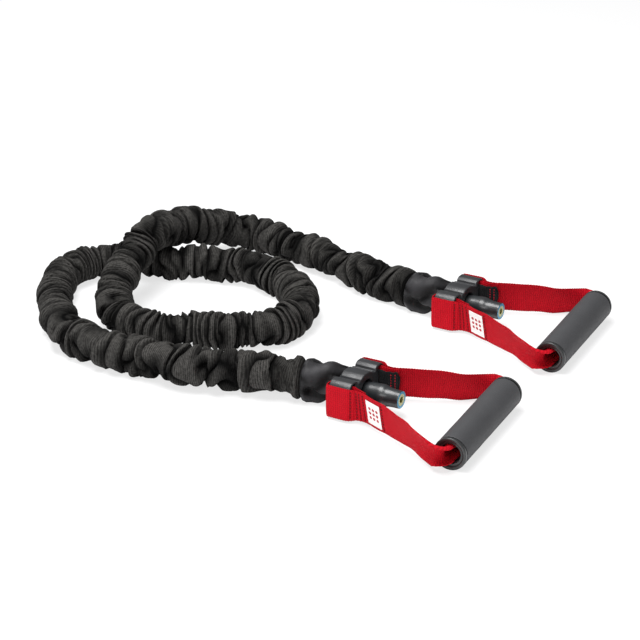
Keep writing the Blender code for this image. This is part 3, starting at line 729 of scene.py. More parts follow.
def run_points(side):
    """Middle line from a cuff's rear end to the coil."""
    start, start_way = cuff_rear(side)
    route, place, way, turn = RUNS[side]
    end = Vector((*place, STRETCH_Z))
    end_way = (turn * Vector((*way, 0.0))).normalized()
    knots = [start + start_way * STRAIGHT_LEAD]
    knots += [Vector((x, y, STRETCH_Z)) for x, y in route]
    knots += [end - end_way * STRAIGHT_LEAD]
    return [start] + smooth_path(knots, start_way, end_way) + [end]


def coil_points():
    """Middle line of the coil, with a straight lead at each end."""
    start = Vector((*COIL_START, STRETCH_Z))
    end = Vector((*COIL_END, STRETCH_Z))
    start_way = Vector((*COIL_START_WAY, 0.0)).normalized()
    end_way = Vector((*COIL_END_WAY, 0.0)).normalized()
    knots = [start + start_way * STRAIGHT_LEAD]
    knots += [Vector((x, y, COIL_Z + rise)) for x, y, rise in COIL_ROUTE]
    knots += [end - end_way * STRAIGHT_LEAD]
    return [start] + smooth_path(knots, start_way, end_way) + [end]


def sleeve_lines():
    """The long line, through the right run and the coil, and the left run's line."""
    long_line = Line(run_points("right") + coil_points()[1:])
    return long_line, Line(run_points("left"))


# The two sleeves, each from its cuff on: distance, mean radius, fold pitch, fold depth
LONG_STRETCHES = (
    (0.000, 0.0186, 0.0160, 0.0010), (0.004, 0.0192, 0.0160, 0.0014),
    (0.008, 0.0186, 0.0160, 0.0018), (0.0115, 0.0152, 0.0200, 0.0018),
    (0.018, 0.0150, 0.0220, 0.0022), (0.025, 0.0176, 0.0250, 0.0040),
    (0.038, 0.0182, 0.0270, 0.0076), (0.065, 0.0174, 0.0270, 0.0085),
    (0.095, 0.0174, 0.0240, 0.0078), (0.125, 0.0172, 0.0170, 0.0066),
    (0.155, 0.0176, 0.0150, 0.0060), (0.180, 0.0176, 0.0170, 0.0062),
    (0.210, 0.0168, 0.0230, 0.0070), (0.240, 0.0176, 0.0230, 0.0070),
    (0.262, 0.0168, 0.0130, 0.0052), (0.300, 0.0162, 0.0095, 0.0044),
    (0.360, 0.0160, 0.0080, 0.0040), (0.430, 0.0160, 0.0072, 0.0040),
    (0.470, 0.0162, 0.0080, 0.0042), (0.520, 0.0166, 0.0115, 0.0050),
    (0.600, 0.0168, 0.0120, 0.0052), (0.660, 0.0168, 0.0090, 0.0044),
    (0.740, 0.0172, 0.0095, 0.0046), (0.800, 0.0168, 0.0085, 0.0046),
    (0.845, 0.0166, 0.0080, 0.0046), (0.862, 0.0152, 0.0075, 0.0048),
    (0.878, 0.0166, 0.0080, 0.0046), (0.920, 0.0166, 0.0085, 0.0044),
    (0.960, 0.0172, 0.0120, 0.0052), (1.020, 0.0166, 0.0100, 0.0046),
    (1.070, 0.0168, 0.0120, 0.0052), (1.110, 0.0178, 0.0180, 0.0066),
    (1.150, 0.0184, 0.0140, 0.0082), (1.180, 0.0180, 0.0120, 0.0078),
    (1.215, 0.0168, 0.0220, 0.0070), (1.250, 0.0160, 0.0120, 0.0052),
    (1.280, 0.0158, 0.0105, 0.0050),
)
LEFT_STRETCHES = (
    (0.000, 0.0180, 0.0200, 0.0060), (0.030, 0.0182, 0.0200, 0.0062),
    (0.060, 0.0176, 0.0130, 0.0058), (0.085, 0.0160, 0.0130, 0.0054),
    (0.100, 0.0148, 0.0120, 0.0050), (0.120, 0.0160, 0.0250, 0.0066),
    (0.145, 0.0158, 0.0160, 0.0056), (0.180, 0.0156, 0.0120, 0.0050),
)

# How far the sleeve is borne up on its puffs, above the tube's middle: distance, rise
RIGHT_BEARING = ((0.000, 0.0005), (0.008, 0.0026), (0.030, 0.0030), (0.125, 0.0030),
                 (0.165, 0.0000), (1.280, 0.0000))
LEFT_BEARING = ((0.000, 0.0000), (0.180, 0.0000))


def pillows(turns, angle, seed):
    """Puffs of cloth shut in by creases: 0 in a crease to 1 on a crown.

    turns counts folds along the tube. A ring of one fold's width holds one to three puffs,
    and the puffs of neighbouring rings are laid like bricks.
    """
    chance = np.random.default_rng(seed)
    first, past, reach = -4, 6, 3.4
    stray, skew = 0.42, 0.22
    roundness, crown_width = 0.24, 0.85
    seeds = []
    for ring in range(first, math.ceil(float(turns.max())) + past):
        puffs = int(chance.integers(1, 4))
        start = chance.uniform(0.0, math.tau)
        for k in range(puffs):
            seeds.append((ring + chance.uniform(-stray, stray),
                          start + math.tau * (k + chance.uniform(-skew, skew)) / puffs))
    seeds = np.array(seeds)
    crown = np.empty(turns.shape)
    for row in range(len(turns)):
        level = float(turns[row].mean())
        near = seeds[np.abs(seeds[:, 0] - level) < reach]
        turn = (angle[row][:, None] - near[None, :, 1] + math.pi) % math.tau - math.pi
        gap = np.hypot(turns[row][:, None] - near[None, :, 0], turn * roundness)
        two = np.partition(gap, 1, axis=1)
        crown[row] = two[:, 1] - two[:, 0]
    return np.sin(np.clip(crown / crown_width, 0.0, 1.0) * (math.pi / 2))


def fold_heights(s, a, folds, seed):
    """How high the gathers stand, from 0 to 1: puffs that give way to rings and back."""
    warp = 0.26 * Ripple(seed, 0.050, 2)(s, a) + 0.07 * Ripple(seed + 1, 0.018, 3)(s, a)
    puff = pillows(folds + warp, a + 0.30 * Ripple(seed + 2, 0.030, 2)(s, a), seed)
    ring = np.abs(np.sin(math.pi * (folds * 1.07 + 1.2 * warp)))
    share = smooth_step(0.42 + 0.8 * Ripple(seed + 4, 0.050, 1)(s, a))
    return (1 - share) * puff ** 0.60 + share * ring ** 0.60


def fine_pleats(s, a, seed):
    """Heights of the fine pleats that lie over the gathers here and there."""
    pitch, depth = 0.0036, 0.00075
    fine = np.abs(np.sin(math.pi * (s / pitch + 1.6 * Ripple(seed + 9, 0.016, 4)(s, a))))
    return (fine ** 0.7 - 0.6) * depth * np.clip(Ripple(seed + 10, 0.030, 3)(s, a), 0, 1)


def sleeve_rings(line, stretches, bearing, seed):
    """Rings of a gathered sleeve, a row for every step, with how high each point is, as the
    crest value that sets the sleeve's painted light and shade.
    """
    around, fade, wall, full_depth = 80, 0.005, 0.0010, 0.0044
    full, give, least = 0.0186, 0.0016, 0.0100
    hem, hem_length = 0.0030, 0.0035
    sizes = bpy.context.scene.sleeve_sizes
    count = math.ceil(line.length / sizes.row_step)
    along = np.linspace(0.0, line.length, count + 1)
    angle = np.linspace(0.0, math.tau, around, endpoint=False)
    s = along[:, None]
    a = np.broadcast_to(angle[None, :], (len(along), len(angle)))
    spots, radii, pitches, depths = (np.array(part) for part in zip(*stretches))
    base = np.interp(along, spots, radii)[:, None]
    pitch = np.interp(along, spots, pitches)[:, None] * sizes.fold_pitch
    depth = np.interp(along, spots, depths)[:, None] * sizes.fold_depth
    folds = np.concatenate(([0.0], np.cumsum(np.diff(along) / pitch[1:, 0])))[:, None]
    height = fold_heights(s, a, folds, seed)
    strength = 0.92 + 0.34 * Ripple(seed + 7, 0.026, 2)(s, a)
    lumps = 0.0011 * Ripple(seed + 8, 0.055, 2)(s, a)
    ends = smooth_step(s / fade) * smooth_step((line.length - s) / fade)
    radius = base + ends * (1.34 * depth * strength * (height - 0.68) + lumps
                            + fine_pleats(s, a, seed))
    tilt = 0.34 * Ripple(seed + 11, 0.070, 1)(s, a) + 0.10
    lean = tilt * np.minimum(pitch, 0.013) * (height - 0.5) * ends * np.sqrt(strength)
    middle, way, side, up = (part[:, None, :] for part in line.frames(along))
    out = side * np.cos(a)[..., None] + up * np.sin(a)[..., None]
    radius = np.where(radius > full, full + give * np.tanh((radius - full) / give), radius)
    radius = np.maximum(radius, least)
    radius = radius - hem * (1 - smooth_step(np.minimum(s, line.length - s) / hem_length))
    rise = np.interp(along, *np.array(bearing).T)[:, None, None]
    offset = out * radius[..., None] + up * rise
    far = np.linalg.norm(offset, axis=-1, keepdims=True)
    offset = offset * np.maximum(1.0, (SNUG_BORE + wall) / far)
    # Crest value for the painted light and shade: the fold height, faded out at the sleeve's
    # ends and pulled toward 1 where the folds are shallow.
    crest = 1 - (1 - height * ends) * np.clip(depth / full_depth, 0.3, 1.0)
    return along, middle + offset + way * lean[..., None], crest


def rest_on_floor(rows):
    """Flatten what would hang below the floor."""
    lowest, give, least = 0.0003, 0.02, 0.00005
    low = rows[..., 2]
    rows[..., 2] = np.where(low < lowest, lowest + (low - lowest) * give, low)
    rows[..., 2] = np.maximum(rows[..., 2], least)


def press_apart(rows, along, line, others):
    """Flatten each ring where it would pass the middle between it and another stretch."""
    reach, own_stretch, half_gap = 0.046, 0.075, 0.0003
    own = line.at(along)
    for index, centre in enumerate(own):
        for spots, distances in others:
            gap = spots - centre
            far = np.linalg.norm(gap, axis=1)
            near = (far < reach) & (np.abs(distances - along[index]) > own_stretch)
            for k in np.flatnonzero(near)[::2]:
                toward = gap[k] / far[k]
                past = (rows[index] - centre) @ toward - (far[k] / 2 - half_gap)
                rows[index] -= np.maximum(past, 0.0)[:, None] * toward


def neighbours(line, lines):
    """Spots on every line with their distance along it, out of reach for another line."""
    step, out_of_reach = 0.004, 100.0
    found = []
    for other in lines:
        marks = np.arange(0.0, other.length, step)
        found.append((other.at(marks), marks if other is line else marks + out_of_reach))
    return found


def with_lining(along, rows, line):
    """Close a sleeve's rings with a plain wall round the tube inside."""
    rings_apart = 12
    marks = along[::-rings_apart]
    lining = round_rows(line, marks, SNUG_BORE + CLEARANCE, rows.shape[1])
    return np.concatenate((along, marks)), np.concatenate((rows, lining))


def mark_crests(mesh, heights):
    """Note on a mesh's first points how high each stands, from 0 in a crease to 1."""
    crest = np.zeros(len(mesh.vertices), np.float32)
    crest[:heights.size] = heights.ravel()
    mesh.attributes.new("crest", "FLOAT", "POINT").data.foreach_set("value", crest)


def sleeve_mesh(name, line, lines, stretches, bearing, seed):
    """The whole gathered sleeve on one line."""
    flat_radius = 0.0165
    along, rows, height = sleeve_rings(line, stretches, bearing, seed)
    press_apart(rows, along, line, neighbours(line, lines))
    rest_on_floor(rows)
    along, rows = with_lining(along, rows, line)
    across = np.linspace(0.0, math.tau * flat_radius, rows.shape[1] + 1)
    mesh = shell_mesh(name, rows, along, across, closed=True)
    mark_crests(mesh, height)
    return mesh


def blend_ends(side):
    """Where the sleeve starts and stops to follow the handle's end of the tube."""
    rear, _ = cuff_rear(side)
    if side == "right":
        across = Vector((1.0, -1.0, 0.0)).normalized()
        middle = Vector((*COIL_START, rear.z))
        reach = (rear - middle).dot(across)
        early, short = 0.004, 0.021
        return middle - across * early, middle + across * (reach - short)
    start = Vector((*COIL_END, rear.z))
    across = (rear - start).normalized()
    late, short = 0.006, 0.008
    return start + across * late, rear - across * short


class TUBE_OT_sleeve(bpy.types.Operator):
    """Build the gathered fabric sleeve over the whole length of the tube"""

    bl_idname = "tube.sleeve"
    bl_label = "Gathered sleeve"

    def execute(self, context):
        long_seed, short_seed = 11, 47
        lines = long_line, left_line = sleeve_lines()
        mesh = sleeve_mesh("sleeve_long", long_line, lines, LONG_STRETCHES, RIGHT_BEARING,
                           long_seed)
        piece = add_piece("sleeve_long", mesh, "sleeve", None)
        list(blend_ends("right"))
        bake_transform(piece)
        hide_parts("sleeve_coil", "sleeve_right")
        mesh = sleeve_mesh("sleeve_short", left_line, lines, LEFT_STRETCHES, LEFT_BEARING,
                           short_seed)
        piece = add_piece("sleeve_short", mesh, "sleeve", None)
        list(blend_ends("left"))
        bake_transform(piece)
        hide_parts("sleeve_left")
        return {"FINISHED"}


def round_rows(line, marks, radius, around):
    """Rings of one radius at some distances along a line."""
    middle, _, side, up = (part[:, None, :] for part in line.frames(marks))
    angle = np.linspace(0.0, math.tau, around, endpoint=False)[None, :]
    out = side * np.cos(angle)[..., None] + up * np.sin(angle)[..., None]
    return middle + out * radius


class TUBE_OT_inner_tube(bpy.types.Operator):
    """Build the rubber tube inside the sleeve"""

    bl_idname = "tube.inner_tube"
    bl_label = "Rubber tube in the sleeve"

    def execute(self, context):
        gap, step, around = CLEARANCE, 0.006, 24
        plans = (("inner_tube_long", "right", ("tube_coil", "tube_right")),
                 ("inner_tube_short", "left", ("tube_left",)))
        for line, (name, side, nodes) in zip(sleeve_lines(), plans):
            marks = np.linspace(gap, line.length - gap, math.ceil(line.length / step))
            rows = round_rows(line, marks, TUBE_RADIUS, around)
            across = np.linspace(0.0, math.tau * TUBE_RADIUS, around + 1)
            mesh = shell_mesh(name, rows, marks, across)
            piece = add_piece(name, mesh, "skin", None, 40)
            side + "_end"
            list(blend_ends(side))
            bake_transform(piece)
            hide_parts(*nodes)
        return {"FINISHED"}


# The tube's exposed end: u, outer radius, radius of its bore
END_PROFILE = (
    (-0.0617, 0.00825, 0.0040), (-0.006, 0.00825, 0.0040), (-0.003, 0.0084, 0.0047),
    (0.000, 0.0091, 0.0050), (0.005, 0.0097, 0.0055), (0.010, 0.0100, 0.0059),
    (0.0155, 0.01045, 0.0063), (0.0185, 0.0101, 0.0055), (0.0212, 0.0091, 0.0049),
    (0.024, 0.0086, 0.0043), (0.029, 0.00825, 0.0040), (0.0344, 0.00825, 0.0040),
    (0.0347, 0.00820, 0.0029), (0.0349, 0.00805, 0.0029),
)

# Where the tube is cut, and the outer radii of the coloured ring and the core on the cut
CUT_U = 0.0350
CUT_RADII = (0.0079, 0.0055)


def tube_end_rows(side, drift, around=48):
    """Rings of the exposed end: outside forward, across the cut, and back down the bore.

    The number of rings on the outside is the last thing returned.
    """
    count, rings_apart = 110, 4
    spots, outer, inner = (np.array(part) for part in zip(*END_PROFILE))
    marks = np.linspace(spots[0], spots[-1], count)
    back = marks[::-rings_apart]
    outside = np.interp(marks, spots, outer)
    inside = np.interp(back, spots, inner)
    places = np.concatenate((marks, [CUT_U] * len(CUT_RADII), back))
    radii = np.concatenate((outside, CUT_RADII, inside))
    origin = handle_origin(side)
    angle = np.linspace(0.0, math.tau, around, endpoint=False)
    ring = np.stack((0 * angle, np.cos(angle), np.sin(angle)), -1)
    centres = np.array([tuple(origin + axis_point(u, drift)) for u in places])
    rows = centres[:, None, :] + ring[None] * radii[:, None, None]
    return places, rows, len(marks)


class TUBE_OT_tube_ends(bpy.types.Operator):
    """Build the tube's two exposed ends, swollen over their plugs"""

    bl_idname = "tube.tube_ends"
    bl_label = "Tube ends"

    def execute(self, context):
        for side, drift in DRIFTS.items():
            places, rows, outside = tube_end_rows(side, drift)
            around = rows.shape[1]
            across = np.linspace(0.0, math.tau * TUBE_RADIUS, around + 1)
            mesh = shell_mesh(side + "_rubber_end", rows, places, across, closed=True)
            for name in ("skin", "tube_ring", "tube_core", "tube_bore"):
                mesh.materials.append(finish_of(name))
            kinds = np.zeros(len(mesh.polygons), np.int32)
            kinds[outside * around:(outside + 1) * around] = 1
            kinds[(outside + 1) * around:(outside + 2) * around] = 2
            kinds[(outside + 2) * around:] = 3
            mesh.polygons.foreach_set("material_index", kinds)
            piece = add_piece(side + "_rubber_end", mesh, None, side + "_end", 40)
            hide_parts(side + "_tube_end")
            refinish(frame["nodes"][side + "_tube_plug"].data, "collar")
        return {"FINISHED"}


# A cuff's distance back from the block, half width and half height
CUFF_SHAPE = (
    (0.0000, 0.0238, 0.0130), (0.0020, 0.0222, 0.0126), (0.0045, 0.0182, 0.0130),
    (0.0075, 0.0158, 0.0142), (0.0110, 0.0160, 0.0152), (0.0160, 0.0172, 0.0166),
    (0.0220, 0.0188, 0.0180), (0.0300, 0.0200, 0.0200), (0.0350, 0.0202, 0.0206),
    (0.0380, 0.0190, 0.0192), (0.0400, 0.0155, 0.0155),
)


def cuff_tuck(back, angle):
    """How deep the cuff's slanting tuck is at each angle round it, from 0 to 1."""
    middle_back, middle_angle, slope, width = 0.029, -0.38, -28.0, 0.26
    first, last, fade = 0.006, 0.037, 0.007
    slant = middle_angle + slope * (middle_back - back)
    away = np.angle(np.exp(1j * (angle - slant)))
    ends = smooth_step((back - first) / fade) * smooth_step((last - back) / fade)
    return float(ends) * np.exp(-(away / width) ** 2)


def cuff_frame(back, drift):
    """Middle of a cuff at a distance back from the block, and the way across it there."""
    centre = axis_point(CUFF_FRONT - back, drift)
    ahead = axis_point(centre.x + CUFF_LENGTH / 5, drift)
    return np.array(centre), np.array(UP.cross((centre - ahead).normalized()))


def squared(part, power):
    """A sine or cosine drawn out toward a square by a power under 1."""
    return np.sign(part) * np.abs(part) ** power


def cuff_rows(drift, around=80, steps=80):
    """Rings of the cuff in the handle's frame, from the block back, with fold heights that set
    its painted light and shade, lowered toward both ends and in the tuck.
    """
    fold_depth, gather_depth, lump_depth, tuck_depth = 0.0062, 0.0019, 0.0007, 0.0056
    dip_depth, shoulder_height, shoulder_back, shoulder_width = 0.0026, 0.0028, 0.0125, 0.0065
    front_fade, rear_fade = 0.006, 0.003
    angle = np.linspace(0.0, math.tau, around, endpoint=False)
    sway_round = Ripple(73, 0.080, 1)
    uneven = Ripple(71, 0.030, 3)
    spots, widths, heights = (np.array(part) for part in zip(*CUFF_SHAPE))
    rows, folds = [], []
    for step in range(steps + 1):
        t = step / steps
        back = CUFF_LENGTH * t
        centre, across = cuff_frame(back, drift)
        width = float(np.interp(back, spots, widths))
        height = float(np.interp(back, spots, heights))
        pinch = 1 - float(smooth_step(t * 3.0))
        power = 1.0 - 0.45 * pinch
        turn = angle + 1.5 * t + 0.5 * sway_round(back, angle)
        fold = np.abs(np.sin(1.5 * turn + 0.6)) ** 0.9
        gather = np.abs(np.sin(4.5 * turn)) ** 0.9
        puff = math.sin(math.pi * min(1.0, max(0.0, (t - 0.10) / 0.90))) ** 0.7
        start = min(1.0, 12 * t)
        tuck = cuff_tuck(back, angle)
        sway = (fold_depth * (fold - 0.72) * puff
                + gather_depth * (gather - 0.7) * pinch * start
                + lump_depth * uneven(back, angle) * start - tuck_depth * tuck)
        reach = squared(np.cos(angle), power)
        rise = squared(np.sin(angle), power)
        dip = dip_depth * pinch * np.cos(reach * math.pi / 2) ** 2
        flat = (width + sway) * reach
        tall = (height + sway - dip) * rise
        shoulder = shoulder_height * math.exp(-((back - shoulder_back) / shoulder_width) ** 2)
        rows.append(centre + np.outer(flat, across)
                    + np.outer(tall + shoulder, np.array(UP)))
        # Painted shade: the fold heights are lowered toward the cuff's ends and in its tuck.
        rim = float(smooth_step(back / front_fade)
                    * smooth_step((CUFF_LENGTH - back) / rear_fade))
        folds.append((puff * fold + (1 - puff) * gather) * (0.35 + 0.65 * rim)
                     * (1 - tuck))
    return np.array(rows), np.array(folds)


def cuff_lining(drift, around=80, steps=10):
    """The cuff's inner wall round the tube, from the sleeve forward to the block."""
    radius = SNUG_BORE + 0.0002
    angle = np.linspace(0.0, math.tau, around, endpoint=False)
    rows = []
    for step in range(steps, -1, -1):
        centre, across = cuff_frame(CUFF_LENGTH * step / steps, drift)
        rows.append(centre + radius * (np.outer(np.cos(angle), across)
                                       + np.outer(np.sin(angle), np.array(UP))))
    return np.array(rows)


class TUBE_OT_cuffs(bpy.types.Operator):
    """Build the plain satin cuff between the sleeve and each block"""

    bl_idname = "tube.cuffs"
    bl_label = "Cuffs"

    def execute(self, context):
        flat_radius, blend_back, blend_front = 0.0185, 0.036, 0.003
        for side, drift in DRIFTS.items():
            origin = handle_origin(side)
            outer, folds = cuff_rows(drift)
            lining = cuff_lining(drift)
            rows = np.concatenate((outer, lining)) + np.array(origin)
            rest_on_floor(rows)
            along = np.concatenate((np.linspace(0, CUFF_LENGTH, len(outer)),
                                    np.linspace(CUFF_LENGTH, 0, len(lining))))
            across = np.linspace(0.0, math.tau * flat_radius, rows.shape[1] + 1)
            mesh = shell_mesh(side + "_satin_cuff", rows, along, across, closed=True)
            mark_crests(mesh, folds)
            piece = add_piece(side + "_satin_cuff", mesh, "satin", None, 60)
            start = origin + axis_point(CUFF_FRONT - blend_back, drift)
            end = origin + Vector((-BLOCK_DEPTH - blend_front, 0.0, 0.0))
            end.y = start.y
            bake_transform(piece)
            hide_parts(side + "_cuff")
        return {"FINISHED"}


# The stepped valley in a block's top, between a side barrel and the crown, as (v, w)
VALLEY = (
    (0.0159, 0.01440), (0.0155, 0.01360), (0.0149, 0.01335), (0.0144, 0.01350),
    (0.0141, 0.01450), (0.0137, 0.01490), (0.0131, 0.01490), (0.0128, 0.01450),
    (0.0125, 0.01415), (0.0121, 0.01430), (0.0118, 0.01530), (0.0114, 0.01590),
)

# The round recess in a block's front face: u, and how far it stands out past the bore
RECESS = (
    (-0.0084, 0.0), (-0.0072, 0.0026), (-0.0010, 0.0028), (-0.0003, 0.0030), (0.0007, 0.0038),
)


def lobed_outline():
    """Outline over half of the block's top, as (v, w): side barrel, valley and crown."""
    crown_radius, crown_centre, crown_edge, crown_steps = 0.0181, 0.0003, 0.0112, 9
    barrel, barrel_v, barrel_w = 0.0100, 0.0230, 0.0084
    top = [(barrel_v + barrel * math.cos(math.radians(d)),
            min(AXIS_Z, barrel_w + barrel * math.sin(math.radians(d))))
           for d in range(0, 133, 6)]
    top += VALLEY
    for step in range(1, crown_steps + 1):
        v = crown_edge * (1 - step / crown_steps)
        crown = crown_centre + math.sqrt(crown_radius ** 2 - v ** 2)
        top.append((v, min(AXIS_Z, crown)))
    return top


def block_rows():
    """Rings of the block along its depth, drawn in round its front and rear edges."""
    smoothings = 8
    top = lobed_outline()
    right = top + [(-v, w) for v, w in reversed(top[:-1])]
    ring = np.array(right + [(v, -w) for v, w in reversed(right)])
    tangent = unit(np.roll(ring, -1, axis=0) - np.roll(ring, 1, axis=0))
    inward = np.stack((-tangent[:, 1], tangent[:, 0]), -1)
    for _ in range(smoothings):
        inward = unit(inward * 2 + np.roll(inward, 1, axis=0) + np.roll(inward, -1, axis=0))
    front, rear = 0.0013, 0.0008
    angles = [math.radians(22.5 * step) for step in range(5)]
    marks = [(-BLOCK_DEPTH + rear * (1 - math.cos(angle)), rear * (1 - math.sin(angle)))
             for angle in angles]
    marks += [(-front * (1 - math.cos(angle)), front * (1 - math.sin(angle)))
              for angle in reversed(angles)]
    return np.array([np.column_stack((np.full(len(ring), u), ring + inward * inset))
                     for u, inset in marks])


def eased_hole(profile, depth_marks):
    """Rings of a cutter: profile(flare) gives a ring, marks are (u, flare)."""
    return np.array([[(u, v, w) for v, w in profile(flare)] for u, flare in depth_marks])


def flare_marks(edge):
    """Marks through the block's depth that round a hole's two rims."""
    turns = [(edge * (1 - math.cos(math.radians(30 * step))),
              edge * (1 - math.sin(math.radians(30 * step)))) for step in range(4)]
    marks = [(-BLOCK_DEPTH - edge, edge)]
    marks += [(-BLOCK_DEPTH + depth, spread) for depth, spread in turns]
    marks += [(-depth, spread) for depth, spread in reversed(turns)]
    return marks + [(edge, edge)]


def slot_profile(place):
    """Outline of a webbing slot, at a flare."""
    def outline(flare):
        half_v = SLOT_WIDTH / 2 + flare
        half_w = SLOT_HEIGHT / 2 + flare
        return [(place + half_v, half_w), (place - half_v, half_w),
                (place - half_v, -half_w), (place + half_v, -half_w)]
    return outline


def round_profile(radius, sides=48):
    """Outline of a round hole, at a flare."""
    def outline(flare):
        return [((radius + flare) * math.cos(math.tau * k / sides),
                 (radius + flare) * math.sin(math.tau * k / sides)) for k in range(sides)]
    return outline


def cut_away(piece, name, rows):
    """Subtract a shape from a piece, and keep the result as its mesh."""
    cutter = bpy.data.objects.new(name, shell_mesh(name, rows))
    bpy.context.scene.collection.objects.link(cutter)
    boolean = piece.modifiers.new(name, "BOOLEAN")
    boolean.operation = "DIFFERENCE"
    boolean.solver = "EXACT"
    boolean.object = cutter
    bpy.context.view_layer.update()
    mesh = bpy.data.meshes.new_from_object(
        piece.evaluated_get(bpy.context.evaluated_depsgraph_get()))
    piece.modifiers.clear()
    piece.data = mesh
    bpy.data.objects.remove(cutter, do_unlink=True)


class TUBE_OT_blocks(bpy.types.Operator):
    """Build the three-lobed connector blocks with their slots and recess"""

    bl_idname = "tube.blocks"
    bl_label = "Connector blocks"

    def execute(self, context):
        through = flare_marks(HOLE_EDGE)
        recessed = through[:-len(RECESS)] + list(RECESS)
        for side in DRIFTS:
            name = side + "_lobed_block"
            piece = add_piece(name, shell_mesh(name, block_rows()), None, None)
            for number, place in ((1, -SLOT_V), (2, SLOT_V)):
                cut_away(piece, f"slot_{number}", eased_hole(slot_profile(place), through))
            cut_away(piece, "bore", eased_hole(round_profile(SNUG_BORE), recessed))
            piece.data.transform(Matrix.Translation(handle_origin(side)))
            refinish(piece.data, "block")
            piece.data.shade_smooth()
            piece.data.set_sharp_from_angle(angle=math.radians(33))
            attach(piece, side + "_clip")
            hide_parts(side + "_block")
        return {"FINISHED"}


def layer_v(u, depth):
    """Distance from the axis of a sewn layer at some depth inside the outer webbing."""
    slant = math.cos(SEWN_SPREAD) * math.cos(SEWN_LEAN)
    return PINCH_V + (u - PINCH_U) * math.tan(SEWN_SPREAD) - depth / slant


def sewn_knots(sign):
    """The sewn end as (u, v, w, lean): inner layer, slot, outer wall, outer layer."""
    sizes = bpy.context.scene.strap_sizes
    reach = STRAP_FIT + sizes.thickness / 2
    step_in = sizes.thickness + LAYER_GAP
    wall_v = BLOCK_HALF_WIDTH - SLOT_OUTER_WALL
    pinch_v = layer_v(PINCH_U, step_in)
    flat = [(TUCK_U, layer_v(TUCK_U, step_in)), (PINCH_U, pinch_v),
            ((PINCH_U + reach) / 2, (pinch_v + wall_v - reach) / 2),
            (reach, wall_v - reach), (-BLOCK_DEPTH / 2, wall_v - reach)]
    for step in range(4):
        angle = math.radians(30 * step)
        flat.append((-BLOCK_DEPTH - reach * math.sin(angle), wall_v - reach * math.cos(angle)))
    big = reach + BLOCK_EDGE
    for step in range(4):
        angle = math.radians(30 * step)
        flat.append((BLOCK_EDGE - BLOCK_DEPTH - big * math.cos(angle),
                     BLOCK_HALF_WIDTH - BLOCK_EDGE + big * math.sin(angle)))
    flat += [(-BLOCK_DEPTH / 2, BLOCK_HALF_WIDTH + reach), (0.0, BLOCK_HALF_WIDTH + reach),
             (PINCH_U, layer_v(PINCH_U, 0.0)), (SEAM_U, layer_v(SEAM_U, 0.0))]
    leans = [-SEWN_LEAN] * 2 + [-SEWN_LEAN / 2] + [0.0] * 12 + [SEWN_LEAN] * 2
    return [(u, sign * v, 0.0, lean) for (u, v), lean in zip(flat, leans)]


def cut_corners(knots, times=2):
    """Round a run of knots by cutting its corners."""
    knots = np.array(knots)
    for _ in range(times):
        first = knots[:-1] * 0.75 + knots[1:] * 0.25
        second = knots[:-1] * 0.25 + knots[1:] * 0.75
        between = np.stack((first, second), 1).reshape(-1, knots.shape[1])
        knots = np.concatenate((knots[:1], between, knots[-1:]))
    return knots


def grip_place(x, y):
    """A point given in the grip's own frame, in the handle's frame, at grip height."""
    return Matrix.Rotation(GRIP_YAW, 4, "Z") @ Vector((x, y, 0.0)) + GRIP_MIDDLE


def turn_places(sign, drop, steps=24):
    """The bend from a leg that hangs by drop into the grip, as far as the bore's mouth.

    The bend's centre lies in from the grip's end by the inset.
    """
    middle_y = GRIP_LENGTH / 2 - TURN_INSET
    places = []
    for step in range(steps + 1):
        angle = TURN_START * (1 - step / steps)
        x = TURN_RADIUS * (math.cos(angle) - 1)
        place = grip_place(x, sign * (middle_y + TURN_RADIUS * math.sin(angle)))
        place.z -= drop * (1 - float(smooth_step(1.4 * step / steps)))
        places.append(place)
    return places


def strap_half(sign, leg_curl, drop):
    """Half of the strap as rows of (u, v, w, lean, curl), to the middle of the grip.

    A leg has curled by leg_curl where it meets the turn, and hangs there by drop.
    """
    loop = cut_corners(sewn_knots(sign))
    turn = turn_places(sign, drop)
    ends = [Vector(loop[-1][:3]), turn[0]]
    steps = 40
    leg = smooth_path(ends, Vector(loop[-1][:3] - loop[-2][:3]), turn[1] - turn[0], steps)
    rows = [(*knot, 0.0) for knot in loop]
    for index, place in enumerate(leg[1:], 1):
        t = index / steps
        lean = SEWN_LEAN + (LEG_LEAN - SEWN_LEAN) * float(smooth_step(2 * t))
        rows.append((*place, lean, leg_curl * max(0.0, (t - 0.40) / 0.60) ** 2))
    for index, place in enumerate(turn[1:], 1):
        t = index / (len(turn) - 1)
        lean = LEG_LEAN * (1 - float(smooth_step(t * 1.2)))
        curl = leg_curl + (1 - leg_curl) * math.sin(math.pi * t / 2) ** 0.8
        rows.append((*place, lean, curl))
    rows.append((*grip_place(0.0, 0.0), 0.0, 1.0))
    return rows


def strap_centre():
    """The whole strap's middle line, each place with its lean and curl."""
    step = 0.0006
    near = strap_half(-1, leg_curl=0.50, drop=-0.0030)
    far = strap_half(1, leg_curl=0.55, drop=0.0020)
    back = [(u, v, w, -lean, curl) for u, v, w, lean, curl in far[-2::-1]]
    rows = np.array(near + back)
    along = lengths_along(rows[:, :3])
    marks = np.linspace(0.0, along[-1], math.ceil(along[-1] / step))
    return marks, read_at(marks, along, rows)


def band_frames(places):
    """Ways outward and up at each place of a band that stands on edge."""
    ahead = np.concatenate((places[1:], places[-1:]))
    behind = np.concatenate((places[:1], places[:-1]))
    way = unit(ahead - behind)
    outward = unit(np.cross(way, np.array(UP)))
    return outward, np.cross(outward, way)


